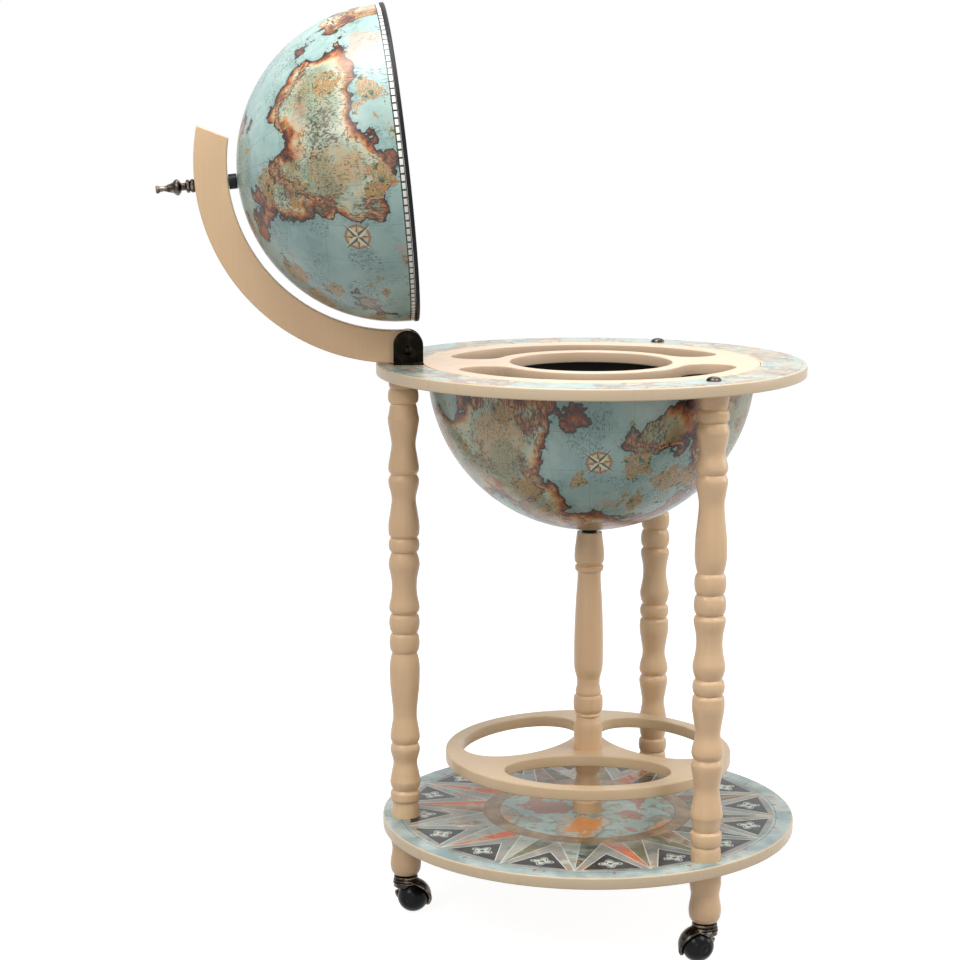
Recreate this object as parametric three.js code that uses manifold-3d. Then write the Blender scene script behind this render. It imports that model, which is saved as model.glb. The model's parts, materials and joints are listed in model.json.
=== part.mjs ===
import * as THREE from "three";
import { mergeVertices } from "three/addons/utils/BufferGeometryUtils.js";
import Module from "manifold-3d";

// A floor globe bar. A round table on three turned legs carries the lower half of a globe,
// the upper half swings open on a wooden arm, and a bottle ring stands over the lower shelf.
// Millimetres, +Z up. The origin is on the floor, under the middle of the whole outline.

// Boards: the table ring and the lower shelf, whose edge stands outside the circle of the legs
const tableRadius = 225;
const tableThickness = 12;
const tableRingWidth = 48;
const tableHoleRadius = tableRadius - tableRingWidth;
const shelfOverhang = 24;
const shelfThickness = 12;
const boardChamfer = 1.5;
const boardSides = 42;

// Tray that fills the hole of the table: from its edge inwards a rim, two slots, a web and the well
const trayGap = 0.5;
const trayRadius = tableHoleRadius - trayGap;
const trayThickness = 12;
const trayRimWidth = 20.5;
const slotWidth = 56;
const trayWebWidth = 15;
const slotOuterRadius = trayRadius - trayRimWidth;
const slotInnerRadius = slotOuterRadius - slotWidth;
const trayWellRadius = slotInnerRadius - trayWebWidth;
const slotEndAngle = THREE.MathUtils.degToRad(13.5);

// Turned legs, feet and their fixings
const legInset = 28;
const legCircleRadius = tableRadius - legInset;
const shelfRadius = legCircleRadius + shelfOverhang;
const legAngles = [180, 300, 60].map(THREE.MathUtils.degToRad);
const legLength = 477;
const legRadius = 16.5;
const legSides = 10;
const boreSides = 10;
const footLength = 53;
const footRadius = 16.6;
const studRadius = 3;
const studGrip = 30;
const tableBoltGrip = 38;
const capRadius = 7.5;
const capHeight = 4.5;
const flushHeadRadius = 6;
const flushHeadHeight = 3;
const boreDepthSpare = 4;

// Lower half of the globe: it hangs in the table's hole, with its flange under the ring
const bowlTableGap = 5.7;
const bowlRadius = tableHoleRadius - bowlTableGap;
const bowlWall = 3;
const bowlCentreDepth = 6;
const flangeWidth = 12;
const bowlFlangeRadius = tableHoleRadius + flangeWidth;
const bowlFlangeThickness = 2.5;
const flangeLegGap = 1;
const flangeNotchRadius = legRadius + flangeLegGap;
const globeSides = 32;
const globeRings = 6;
const flangeScrewInset = 5.5;
const flangeScrewCircleRadius = bowlFlangeRadius - flangeScrewInset;
const flangeScrewSpread = THREE.MathUtils.degToRad(20);

// Column under the bowl and the bottle ring on it, whose holes lie between its hub and its rim
const columnRadius = 15.9;
const columnPlaceMargin = 1.6;
const lowerColumnLength = 58;
const columnSides = 12;
const columnStudGrip = lowerColumnLength / 2 - boreDepthSpare;
const columnBushRadius = 8;
const columnBushHeight = 4.4;
const bottleRingLegGap = 27.5;
const bottleRingRadius = legCircleRadius - legRadius - bottleRingLegGap;
const bottleRingThickness = 12;
const bottleRingHub = 32;
const bottleRingRim = 16;
const bottleHoleHalfDepth = (bottleRingRadius - bottleRingRim - bottleRingHub) / 2;
const bottleHoleWidthShare = 173 / 105;
const bottleHoleHalfWidth = bottleHoleWidthShare * bottleHoleHalfDepth;
const bottleHoleCentreRadius = bottleRingHub + bottleHoleHalfDepth;
const bottleRingTurn = THREE.MathUtils.degToRad(-97.7);

// Upper half of the globe, its arm and its hinge
const lidInset = 9.8;
const lidRadius = bowlRadius - lidInset;
const lidWall = 3;
const lidRimDepth = 6;
const lidTrimHeight = 4;
const lidTrimProud = 1.2;
const lidRestGap = 0.4;
const lidOpenAngle = THREE.MathUtils.degToRad(96);
const armLidGap = 9.5;
const armWidth = 34;
const armInnerRadius = lidRadius + armLidGap;
const armOuterRadius = armInnerRadius + armWidth;
const armThickness = 14;
const armBevel = 1.2;
const armTipInnerAngle = THREE.MathUtils.degToRad(14.8);
const armTipOuterAngle = THREE.MathUtils.degToRad(17.1);
const hingeInset = 13;
const hingeRadius = armOuterRadius - hingeInset;
const hingePinHeight = 14;
const hingePinRadius = 4;
const hingeHeadRadius = 5.6;
const hingeHeadHeight = 2.6;
const hingeNutRadius = 6.5;
const hingeNutHeight = 4;
const bracketWidth = 31;
const bracketHeight = 35;
const bracketPlate = 2.5;
const bracketFlange = 9;
const bracketSideGap = 1;
const bracketScrewSpread = 9;

// Pole pin, bush and finial
const polePinRadius = 3.5;
const poleBushRadius = 7.8;
const poleWasherRadius = 10;
const poleWasherHeight = 1.5;
const poleNutRadius = 6.5;
const poleNutHeight = 6;
const finialLength = 39.5;
const finialRadius = 8.4;
const finialGripShare = 0.18;
const finialGrip = finialGripShare * finialLength;

// Small screws
const screwRadius = 1.7;
const screwHeadRadius = 3.1;
const screwHeadHeight = 1.8;
const screwLength = 9;
const screwTaperShare = 0.8;
const screwSides = 6;

// Ball casters: the wheel's top stays below the foot by the headroom, and its dome ends in a small flat
const casterHeight = 42;
const wheelHeadroom = 8;
const wheelRadius = (casterHeight - wheelHeadroom) / 2;
const wheelFaceDepth = 3;
const wheelDomeFlat = 1.5;
const wheelDomeDepth = wheelRadius - wheelDomeFlat;
const wheelTreadHalfWidth = 1.5;
const wheelSides = 16;
const wheelHoodGap = 1;
const hoodWall = 2;
const hoodFloorGap = 5.5;
const hoodTilt = THREE.MathUtils.degToRad(32);
const casterTrail = 8;
const collarRadius = 14;
const collarHeight = 10;
const casterStemRadius = 4;
const casterStemGrip = 24;
const stemFlangeRadius = 9;
const stemFlangeHeight = 1.3;
const axleRadius = 2;
const axleEndWall = 4.5;
const axleReach = wheelDomeDepth - axleEndWall;
const axleBossRadius = 4.5;
const axleBossRoot = 1;
const casterYaws = [-112, -68, 80].map(THREE.MathUtils.degToRad);
const casterHands = [1, -1, 1];

// Clearances: seat lies between pieces that rest or are cut, running between a pin and its bore
const seat = 0.3;
const running = 0.35;
const overrun = 2;

// Turned outlines, as shares of a piece's length and radius, with the steps to each stop.
// A leg is listed from the end that meets the table on the two right-hand legs.
const legShares = [
  [0, 0.96, 1],
  [0.0323, 0.82, 1],
  [0.041, 0.97, 1],
  [0.053, 0.97, 1],
  [0.061, 0.82, 1],
  [0.081, 0.99, 1],
  [0.124, 0.77, 2],
  [0.156, 0.96, 1],
  [0.1695, 0.82, 1],
  [0.184, 0.96, 1],
  [0.233, 0.77, 2],
  [0.28, 0.88, 1],
  [0.302, 0.945, 1],
  [0.34, 0.98, 1],
  [0.3775, 0.8, 1],
  [0.388, 0.94, 1],
  [0.3995, 0.97, 1],
  [0.412, 0.94, 1],
  [0.4226, 0.8, 1],
  [0.434, 0.95, 1],
  [0.446, 0.985, 1],
  [0.457, 0.95, 1],
  [0.4666, 0.8, 1],
  [0.478, 0.98, 1],
  [0.51, 0.83, 1],
  [0.526, 0.8, 1],
  [0.543, 0.83, 1],
  [0.5774, 1, 2],
  [0.605, 0.8, 1],
  [0.613, 0.96, 1],
  [0.6215, 0.99, 1],
  [0.631, 0.95, 1],
  [0.6385, 0.82, 1],
  [0.647, 0.98, 1],
  [0.663, 1, 1],
  [0.724, 0.775, 2],
  [0.765, 0.985, 1],
  [0.779, 0.82, 1],
  [0.7925, 0.985, 1],
  [0.846, 0.77, 2],
  [0.903, 1, 2],
  [0.936, 0.8, 1],
  [0.943, 0.95, 1],
  [0.953, 0.975, 1],
  [0.963, 0.94, 1],
  [0.97, 0.83, 1],
  [0.98, 0.92, 1],
  [1, 0.94, 1],
];
const footShares = [
  [0, 0.8, 1],
  [0.04, 0.88, 1],
  [0.1, 0.96, 1],
  [0.22, 1, 1],
  [0.54, 0.87, 3],
  [0.75, 0.97, 2],
  [1, 0.98, 1],
];
const upperColumnShares = [
  [0, 0.96, 1],
  [0.097, 0.96, 1],
  [0.115, 0.93, 1],
  [0.15, 0.77, 2],
  [0.158, 0.89, 1],
  [0.168, 0.82, 1],
  [0.19, 0.975, 1],
  [0.213, 0.99, 1],
  [0.243, 0.96, 1],
  [0.25, 0.83, 1],
  [0.262, 0.86, 1],
  [0.3, 0.765, 1],
  [0.325, 0.783, 1],
  [0.353, 0.884, 1],
  [0.375, 0.95, 1],
  [0.41, 0.978, 1],
  [0.47, 0.978, 1],
  [0.6, 0.934, 1],
  [0.7, 0.865, 1],
  [0.8, 0.78, 1],
  [0.818, 0.79, 1],
  [0.828, 0.93, 1],
  [0.843, 0.95, 1],
  [0.852, 0.82, 1],
  [0.868, 0.97, 1],
  [0.89, 0.994, 1],
  [0.915, 0.98, 1],
  [1, 0.83, 2],
];
const lowerColumnShares = [
  [0, 0.985, 1],
  [0.2, 0.985, 2],
  [0.235, 0.83, 1],
  [0.41, 0.93, 2],
  [0.73, 0.745, 2],
  [0.93, 0.956, 2],
  [1, 0.975, 1],
];
const finialShares = [
  [0, 0.74, 1],
  [0.05, 0.83, 1],
  [0.1, 0.74, 1],
  [0.12, 0.58, 1],
  [0.15, 0.81, 1],
  [0.2, 0.79, 1],
  [0.235, 0.47, 1],
  [0.33, 0.45, 1],
  [0.37, 0.72, 1],
  [0.43, 1, 1],
  [0.48, 0.96, 1],
  [0.56, 0.64, 1],
  [0.8, 0.3, 2],
  [0.88, 0.34, 1],
  [0.96, 0.5, 1],
  [1, 0.42, 1],
];
const collarShares = [
  [0, 0.93, 1],
  [0.12, 1, 1],
  [0.4, 1, 1],
  [0.52, 0.86, 1],
  [0.64, 0.93, 1],
  [0.88, 0.93, 1],
  [1, 0.8, 1],
];
const capShares = [
  [0, 1, 1],
  [0.35, 0.96, 1],
  [0.75, 0.66, 1],
  [1, 0.25, 1],
];

// Heights that the pieces share
const shelfBottom = casterHeight + footLength;
const shelfTop = shelfBottom + shelfThickness;
const tableBottom = shelfTop + legLength;
const tableTop = tableBottom + tableThickness;
const ringBottom = shelfTop + lowerColumnLength;
const ringTop = ringBottom + bottleRingThickness;
const bowlCentre = tableTop - bowlCentreDepth;
const bowlBottom = bowlCentre - bowlRadius;
const columnTop = bowlBottom - seat - columnBushHeight;
const upperColumnLength = columnTop - ringTop;
const bowlInnerRadius = bowlRadius - bowlWall;
const bowlFlangeTop = tableTop - trayThickness;
const bowlRimAngle = Math.acos((bowlCentre - bowlFlangeTop) / bowlInnerRadius);
const pinHeight = tableTop + hingePinHeight;
const lidCentreOverPin = lidRimDepth + lidRestGap - hingePinHeight;
const lidInnerRadius = lidRadius - lidWall;
const axleHeight = wheelRadius * Math.cos(Math.PI / wheelSides);
const hoodCavityRadius = wheelRadius + wheelHoodGap;
const hoodRadius = hoodCavityRadius + hoodWall;
const quarter = Math.PI / 2;

const wasm = await Module();
wasm.setup();

// Cutting and joining work on closed solids. These two carry a geometry there and back.
// With its edges kept, a flat face stays divided where its outline divides it.
function solid(geometry, edgesKept = false) {
  const bare = geometry.index ? geometry.toNonIndexed() : geometry.clone();
  bare.deleteAttribute("normal");
  bare.deleteAttribute("uv");
  const merged = mergeVertices(bare);
  const triVerts = new Uint32Array(merged.index.array);
  const mesh = { numProp: 3, vertProperties: merged.attributes.position.array, triVerts };
  if (edgesKept) mesh.faceID = Uint32Array.from({ length: triVerts.length / 3 }, (_, i) => i);
  return new wasm.Manifold(new wasm.Mesh(mesh));
}

function geometryOf(body) {
  const made = body.getMesh();
  const points = new Float32Array(made.numVert * 3);
  for (let i = 0; i < made.numVert; i++) {
    points.set(made.vertProperties.subarray(i * made.numProp, i * made.numProp + 3), i * 3);
  }
  const geometry = new THREE.BufferGeometry();
  geometry.setAttribute("position", new THREE.BufferAttribute(points, 3));
  geometry.setIndex(new THREE.BufferAttribute(made.triVerts, 1));
  geometry.computeVertexNormals();
  return geometry;
}

// A closed profile of [radius, height] pairs, turned round the Z axis.
function lathe(profile, sides) {
  const points = profile.map(([radius, height]) => new THREE.Vector2(radius, height));
  if (THREE.ShapeUtils.area(points) < 0) points.reverse();
  const closed = [...points, points[0].clone()];
  return new THREE.LatheGeometry(closed, sides).rotateX(quarter);
}

// The turned outline of a piece: eased curves between its stops.
function turnedOutline(shares, length, radius) {
  const outline = [];
  shares.forEach(([at, size, steps], i) => {
    const [fromAt, fromSize] = i ? shares[i - 1] : [at, size];
    for (let k = 1; k <= steps; k++) {
      const part = k / steps;
      const ease = (1 - Math.cos(Math.PI * part)) / 2;
      const height = fromAt + (at - fromAt) * part;
      const width = fromSize + (size - fromSize) * ease;
      outline.push([width * radius, height * length]);
    }
  });
  return outline;
}

// A turned piece standing on z = 0, with an optional blind bore in each end.
function turned(shares, length, radius, sides, bottomBore, topBore) {
  const profile = turnedOutline(shares, length, radius);
  if (topBore) profile.push([topBore.radius, length], [topBore.radius, length - topBore.depth]);
  profile.push([0, topBore ? length - topBore.depth : length]);
  profile.push([0, bottomBore ? bottomBore.depth : 0]);
  if (bottomBore) profile.push([bottomBore.radius, bottomBore.depth], [bottomBore.radius, 0]);
  return lathe(profile, sides);
}

function cylinder(radius, from, to, sides) {
  const profile = [
    [0, from],
    [radius, from],
    [radius, to],
    [0, to],
  ];
  return lathe(profile, sides);
}

function arc(x, y, radius, from, to, steps) {
  const points = [];
  for (let i = 0; i <= steps; i++) {
    const angle = from + ((to - from) * i) / steps;
    points.push(new THREE.Vector2(x + radius * Math.cos(angle), y + radius * Math.sin(angle)));
  }
  return points;
}

// A flat board of the given outline, with its holes, from z = 0 up.
function board(outline, holes, thickness) {
  const shape = new THREE.Shape(outline);
  shape.holes = holes.map((points) => new THREE.Path(points));
  return new THREE.ExtrudeGeometry(shape, { depth: thickness, bevelEnabled: false });
}

function circle(radius, sides) {
  return arc(0, 0, radius, 0, 2 * Math.PI, sides).slice(0, sides);
}

// Drills are cylinders along Z that start past the face they enter.
function drill(body, radius, x, y, from, to, sides = 8) {
  return body.subtract(solid(cylinder(radius, from, to, sides).translate(x, y, 0)));
}

function onCircle(radius, angle) {
  return [radius * Math.cos(angle), radius * Math.sin(angle)];
}

const creamPaint = new THREE.MeshStandardMaterial({ color: 0xe6c9a4, roughness: 0.55 });
const printedBoard = new THREE.MeshStandardMaterial({ color: 0xb9cfcf, roughness: 0.5 });
const globePrint = new THREE.MeshStandardMaterial({ color: 0x8fb9b8, roughness: 0.35 });
const darkBronze = new THREE.MeshStandardMaterial({ color: 0x4a3a2c, roughness: 0.4, metalness: 0.8 });
const blackPlastic = new THREE.MeshStandardMaterial({ color: 0x17181a, roughness: 0.5 });
const zincSteel = new THREE.MeshStandardMaterial({ color: 0xb4b6b8, roughness: 0.35, metalness: 0.9 });

const globeBar = new THREE.Group();
const stand = new THREE.Group();
globeBar.add(stand);

function place(parent, name, geometry, material, x = 0, y = 0, z = 0) {
  const mesh = new THREE.Mesh(geometry, material);
  mesh.name = name;
  mesh.position.set(x, y, z);
  parent.add(mesh);
  return mesh;
}

// A round board profile with its outer edges chamfered.
function boardProfile(inner, outer, bottom, top) {
  return [
    [inner, bottom],
    [outer - boardChamfer, bottom],
    [outer, bottom + boardChamfer],
    [outer, top - boardChamfer],
    [outer - boardChamfer, top],
    [inner, top],
  ];
}

// Places of the screws that hold the bowl's flange: a pair between each two legs.
const flangeScrewAngles = legAngles.flatMap((angle) =>
  [-1, 1].map((side) => angle + Math.PI + side * flangeScrewSpread),
);
// Places of the screws of the two hinge brackets.
const bracketInnerFace = armThickness / 2 + bracketSideGap;
const bracketScrewOffset = bracketInnerFace + bracketPlate + bracketFlange / 2;
const bracketScrews = [-1, 1].flatMap((side) =>
  [-1, 1].map((end) => [-hingeRadius + end * bracketScrewSpread, side * bracketScrewOffset]),
);

// Table ring: a board bored for the leg bolts, with a countersink under the arm.
function tableRing() {
  let body = solid(lathe(boardProfile(tableHoleRadius, tableRadius, tableBottom, tableTop), boardSides));
  legAngles.forEach((angle, i) => {
    const [x, y] = onCircle(legCircleRadius, angle);
    body = drill(body, studRadius + running, x, y, tableBottom - overrun, tableTop + overrun);
    if (i === 0) {
      const sinkBottom = tableTop - 2 * flushHeadHeight;
      body = drill(body, flushHeadRadius + running, x, y, sinkBottom, tableTop + overrun, boreSides);
    }
  });
  const blindTop = tableBottom + screwLength - bowlFlangeThickness + seat;
  for (const angle of flangeScrewAngles) {
    const [x, y] = onCircle(flangeScrewCircleRadius, angle);
    body = drill(body, screwRadius + seat, x, y, tableBottom - overrun, blindTop, screwSides);
  }
  for (const [x, y] of bracketScrews) {
    const blindBottom = tableTop + bracketPlate - screwLength - seat;
    body = drill(body, screwRadius + seat, x, y, blindBottom, tableTop + overrun, screwSides);
  }
  return geometryOf(body);
}

// One kidney slot of the tray, between its two round ends.
function slotOutline(turn) {
  const middle = (slotInnerRadius + slotOuterRadius) / 2;
  const endRadius = (slotOuterRadius - slotInnerRadius) / 2;
  const endAngle = Math.asin(endRadius / middle);
  const from = turn + slotEndAngle + endAngle;
  const to = turn + Math.PI - slotEndAngle - endAngle;
  const [fromX, fromY] = onCircle(middle, from);
  const [toX, toY] = onCircle(middle, to);
  const endSteps = 7;
  const longSteps = 14;
  return [
    ...arc(0, 0, slotOuterRadius, from, to, longSteps),
    ...arc(toX, toY, endRadius, to, to + Math.PI, endSteps).slice(1),
    ...arc(0, 0, slotInnerRadius, to, from, longSteps).slice(1),
    ...arc(fromX, fromY, endRadius, from - Math.PI, from, endSteps).slice(1, endSteps),
  ];
}

function tray() {
  const well = circle(trayWellRadius, boardSides);
  return board(circle(trayRadius, boardSides), [well, slotOutline(0), slotOutline(Math.PI)], trayThickness);
}

place(stand, "table_ring", tableRing(), printedBoard);
place(stand, "tray_insert", tray(), creamPaint, 0, 0, tableTop - trayThickness);

// A half globe's wall between two angles from its pole, as [radius, height] points.
function domeArc(radius, from, to, steps) {
  return Array.from({ length: steps + 1 }, (_, i) => {
    const angle = from + ((to - from) * i) / steps;
    return [radius * Math.sin(angle), radius * Math.cos(angle)];
  });
}

// Height of a dome's inner face at a small distance from its axis, on the facet next to its bore.
function domeSeat(radius, boreRadius, farAngle, at) {
  const [near, far] = domeArc(radius, Math.asin(boreRadius / radius), farAngle, globeRings);
  return near[1] + ((far[1] - near[1]) * (at - near[0])) / (far[0] - near[0]);
}

// Bowl: its flat flange is notched round the legs and carries the tray.
function bowl() {
  const boreRadius = studRadius + running;
  const flangeBottom = bowlFlangeTop - bowlFlangeThickness;
  const outerRim = Math.acos((bowlCentre - flangeBottom) / bowlRadius);
  const down = ([radius, height]) => [radius, bowlCentre - height];
  const profile = [
    ...domeArc(bowlRadius, Math.asin(boreRadius / bowlRadius), outerRim, globeRings).map(down),
    [bowlFlangeRadius, flangeBottom],
    [bowlFlangeRadius, bowlFlangeTop],
    ...domeArc(bowlInnerRadius, bowlRimAngle, Math.asin(boreRadius / bowlInnerRadius), globeRings).map(down),
  ];
  let body = solid(lathe(profile, globeSides));
  for (const angle of legAngles) {
    const [x, y] = onCircle(legCircleRadius, angle);
    body = drill(body, flangeNotchRadius, x, y, flangeBottom - overrun, bowlFlangeTop + overrun, boreSides);
  }
  for (const angle of flangeScrewAngles) {
    const [x, y] = onCircle(flangeScrewCircleRadius, angle);
    body = drill(body, screwRadius + seat, x, y, flangeBottom - overrun, bowlFlangeTop + overrun, screwSides);
  }
  return geometryOf(body);
}

// A small screw whose head stands on z = 0, with its shank below.
function smallScrew() {
  const profile = [
    [0, -screwLength],
    [screwRadius, -screwLength],
    [screwRadius, 0],
    [screwHeadRadius, 0],
    [screwTaperShare * screwHeadRadius, screwHeadHeight],
    [0, screwHeadHeight],
  ];
  return lathe(profile, screwSides);
}

place(stand, "bowl", bowl(), globePrint);
flangeScrewAngles.forEach((angle, i) => {
  const [x, y] = onCircle(flangeScrewCircleRadius, angle);
  const under = bowlFlangeTop - bowlFlangeThickness;
  const screw = smallScrew().rotateX(Math.PI);
  place(stand, `bowl_screw_${i + 1}`, screw, zincSteel, x, y, under);
});

// A bolt: a domed cap on z = 0 and a plain shank below.
function capBolt(shank) {
  const cap = turnedOutline(capShares, capHeight, capRadius);
  return lathe([[0, -shank], [studRadius, -shank], [studRadius, 0], ...cap, [0, capHeight]], 10);
}

// The bolt under the arm has a flat head, sunk below the table's face.
function flushBolt(shank) {
  const profile = [
    [0, -shank],
    [studRadius, -shank],
    [studRadius, -flushHeadHeight],
    [flushHeadRadius, -flushHeadHeight],
    [flushHeadRadius, 0],
    [0, 0],
  ];
  return lathe(profile, 12);
}

function rod(radius, length) {
  return cylinder(radius, 0, length, 8);
}

// Legs, feet and their fixings. The leg under the hinge is fitted the other way up.
const legBore = { radius: studRadius + running, depth: tableBoltGrip + boreDepthSpare };
const footStudGrip = footLength - casterStemGrip - 2 * boreDepthSpare;
const footTopBore = { radius: studRadius + running, depth: footStudGrip + boreDepthSpare / 2 };
const stemBore = { radius: casterStemRadius + running, depth: casterStemGrip + boreDepthSpare / 2 };
legAngles.forEach((angle, i) => {
  const [x, y] = onCircle(legCircleRadius, angle);
  const number = i + 1;
  const underHinge = i === 0;
  const leg = turned(legShares, legLength, legRadius, legSides, legBore, legBore);
  if (underHinge) place(stand, `leg_${number}`, leg, creamPaint, x, y, shelfTop);
  else {
    const flipped = leg.rotateX(Math.PI).translate(0, 0, legLength);
    place(stand, `leg_${number}`, flipped, creamPaint, x, y, shelfTop);
  }
  const foot = turned(footShares, footLength, footRadius, legSides, stemBore, footTopBore);
  place(stand, `foot_${number}`, foot, creamPaint, x, y, casterHeight);
  const stud = rod(studRadius, footStudGrip + shelfThickness + studGrip);
  place(stand, `leg_stud_${number}`, stud, zincSteel, x, y, shelfBottom - footStudGrip);
  const bolt = underHinge
    ? flushBolt(tableThickness + tableBoltGrip - flushHeadHeight)
    : capBolt(tableThickness + tableBoltGrip);
  place(stand, `table_bolt_${number}`, bolt, darkBronze, x, y, tableTop - (underHinge ? flushHeadHeight : 0));
});

// Shelf: a full board bored for the leg studs and the column's screw. Its top is divided round the column.
function shelf() {
  const columnPlace = [columnRadius + columnPlaceMargin, shelfTop];
  const profile = boardProfile(0, shelfRadius, shelfBottom, shelfTop);
  profile.splice(-1, 0, columnPlace);
  let body = solid(lathe(profile, boardSides), true);
  for (const angle of legAngles) {
    const [x, y] = onCircle(legCircleRadius, angle);
    body = drill(body, studRadius + running, x, y, shelfBottom - overrun, shelfTop + overrun);
  }
  body = drill(body, studRadius + running, 0, 0, shelfBottom - overrun, shelfTop + overrun);
  const sinkTop = shelfBottom + 2 * flushHeadHeight;
  body = drill(body, flushHeadRadius + running, 0, 0, shelfBottom - overrun, sinkTop, boreSides);
  return geometryOf(body);
}

place(stand, "shelf", shelf(), printedBoard);

// Column in two turned lengths, screwed together through the bottle ring.
const columnBore = { radius: studRadius + running, depth: columnStudGrip + boreDepthSpare / 2 };
const bowlBoltBore = { radius: studRadius + running, depth: studGrip + boreDepthSpare };
const upperColumn = turned(
  upperColumnShares,
  upperColumnLength,
  columnRadius,
  columnSides,
  columnBore,
  bowlBoltBore,
);
const lowerColumn = turned(
  lowerColumnShares,
  lowerColumnLength,
  columnRadius,
  columnSides,
  columnBore,
  columnBore,
);
place(stand, "column_upper", upperColumn, creamPaint, 0, 0, ringTop);
place(stand, "column_lower", lowerColumn, creamPaint, 0, 0, shelfTop);
const columnStud = rod(studRadius, 2 * columnStudGrip + bottleRingThickness);
place(stand, "column_stud", columnStud, zincSteel, 0, 0, ringBottom - columnStudGrip);
const columnScrew = flushBolt(shelfThickness + columnStudGrip - flushHeadHeight).rotateX(Math.PI);
place(stand, "column_screw", columnScrew, zincSteel, 0, 0, shelfBottom + flushHeadHeight);

// Bottle ring: a board with three oval holes, and a bore for the column's stud.
function bottleRing() {
  const ovalSteps = 30;
  const hole = (turn) =>
    arc(0, 0, 1, 0, 2 * Math.PI, ovalSteps)
      .slice(0, ovalSteps)
      .map((unit) => {
        const x = bottleHoleCentreRadius + bottleHoleHalfDepth * unit.x;
        return new THREE.Vector2(x, bottleHoleHalfWidth * unit.y).rotateAround(new THREE.Vector2(), turn);
      });
  const turns = [0, 1, 2].map((k) => bottleRingTurn + (k * 2 * Math.PI) / 3);
  const holes = [...turns.map(hole), circle(studRadius + running, 12)];
  return board(circle(bottleRingRadius, boardSides), holes, bottleRingThickness);
}

place(stand, "bottle_ring", bottleRing(), creamPaint, 0, 0, ringBottom);

// Bush, washer and bolt that tie the bowl to the column.
const bushProfile = [
  [studRadius + running, 0],
  [columnBushRadius, 0],
  [columnBushRadius, columnBushHeight],
  [studRadius + running, columnBushHeight],
];
place(stand, "column_bush", lathe(bushProfile, columnSides), blackPlastic, 0, 0, columnTop);
const bowlWasherRadius = capRadius + 2 * seat;
const bowlWasherHeight = poleWasherHeight;
const bowlSeat = domeSeat(bowlInnerRadius, studRadius + running, bowlRimAngle, bowlWasherRadius);
const bowlWasherBottom = bowlCentre - bowlSeat + seat;
const bowlWasherProfile = [
  [studRadius + running, 0],
  [bowlWasherRadius, 0],
  [bowlWasherRadius, bowlWasherHeight],
  [studRadius + running, bowlWasherHeight],
];
place(stand, "bowl_washer", lathe(bowlWasherProfile, columnSides), zincSteel, 0, 0, bowlWasherBottom);
const bowlBoltSeat = bowlWasherBottom + bowlWasherHeight;
const bowlBolt = capBolt(bowlBoltSeat - columnTop + studGrip);
place(stand, "bowl_bolt", bowlBolt, darkBronze, 0, 0, bowlBoltSeat);

// Hinge brackets: a round-topped plate on each side of the arm, with a screwed foot flange.
function hingeBracket(side) {
  const half = bracketWidth / 2;
  const shoulder = bracketHeight - half;
  const topSteps = 14;
  const outline = [
    new THREE.Vector2(-half, 0),
    new THREE.Vector2(half, 0),
    ...arc(0, shoulder, half, 0, Math.PI, topSteps),
  ];
  const pinHole = arc(0, hingePinHeight, hingePinRadius + running, 0, 2 * Math.PI, 16).slice(0, 16);
  const plate = board(outline, [pinHole], bracketPlate).rotateX(quarter);
  plate.translate(0, side > 0 ? bracketInnerFace + bracketPlate : -bracketInnerFace, 0);
  const foot = new THREE.BoxGeometry(bracketWidth, bracketFlange + bracketPlate, bracketPlate);
  foot.translate(0, side * (bracketInnerFace + (bracketFlange + bracketPlate) / 2), bracketPlate / 2);
  let body = solid(plate).add(solid(foot));
  for (const end of [-1, 1]) {
    const [x, y] = [end * bracketScrewSpread, side * bracketScrewOffset];
    body = drill(body, screwRadius + seat, x, y, -overrun, bracketPlate + overrun, screwSides);
  }
  return geometryOf(body);
}

place(stand, "hinge_bracket_front", hingeBracket(-1), darkBronze, -hingeRadius, 0, tableTop);
place(stand, "hinge_bracket_back", hingeBracket(1), darkBronze, -hingeRadius, 0, tableTop);
bracketScrews.forEach(([x, y], i) => {
  place(stand, `bracket_screw_${i + 1}`, smallScrew(), darkBronze, x, y, tableTop + bracketPlate);
});

// Hinge pin along Y with its dome on the front bracket, and the nut behind the back one.
const bracketOuterFace = bracketInnerFace + bracketPlate;
function hingePin() {
  const shank = 2 * bracketOuterFace + hingeNutHeight;
  const dome = turnedOutline(capShares, hingeHeadHeight, hingeHeadRadius);
  const profile = [[0, -shank], [hingePinRadius, -shank], [hingePinRadius, 0], ...dome, [0, hingeHeadHeight]];
  return lathe(profile, 12).rotateX(quarter);
}

function hexNut(cornerRadius, bore, height) {
  return board(circle(cornerRadius, 6), [circle(bore, 12)], height);
}

place(stand, "hinge_pin", hingePin(), darkBronze, -hingeRadius, -bracketOuterFace, pinHeight);
const hingeNut = hexNut(hingeNutRadius, hingePinRadius + running, hingeNutHeight).rotateX(-quarter);
place(stand, "hinge_nut", hingeNut, darkBronze, -hingeRadius, bracketOuterFace, pinHeight);

// Everything that swings hangs from the hinge pin. The inner group is the closed globe's centre.
const swing = new THREE.Group();
swing.position.set(-hingeRadius, 0, pinHeight);
swing.rotation.y = -lidOpenAngle;
stand.add(swing);
const globe = new THREE.Group();
globe.position.set(hingeRadius, 0, lidCentreOverPin);
swing.add(globe);

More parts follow.
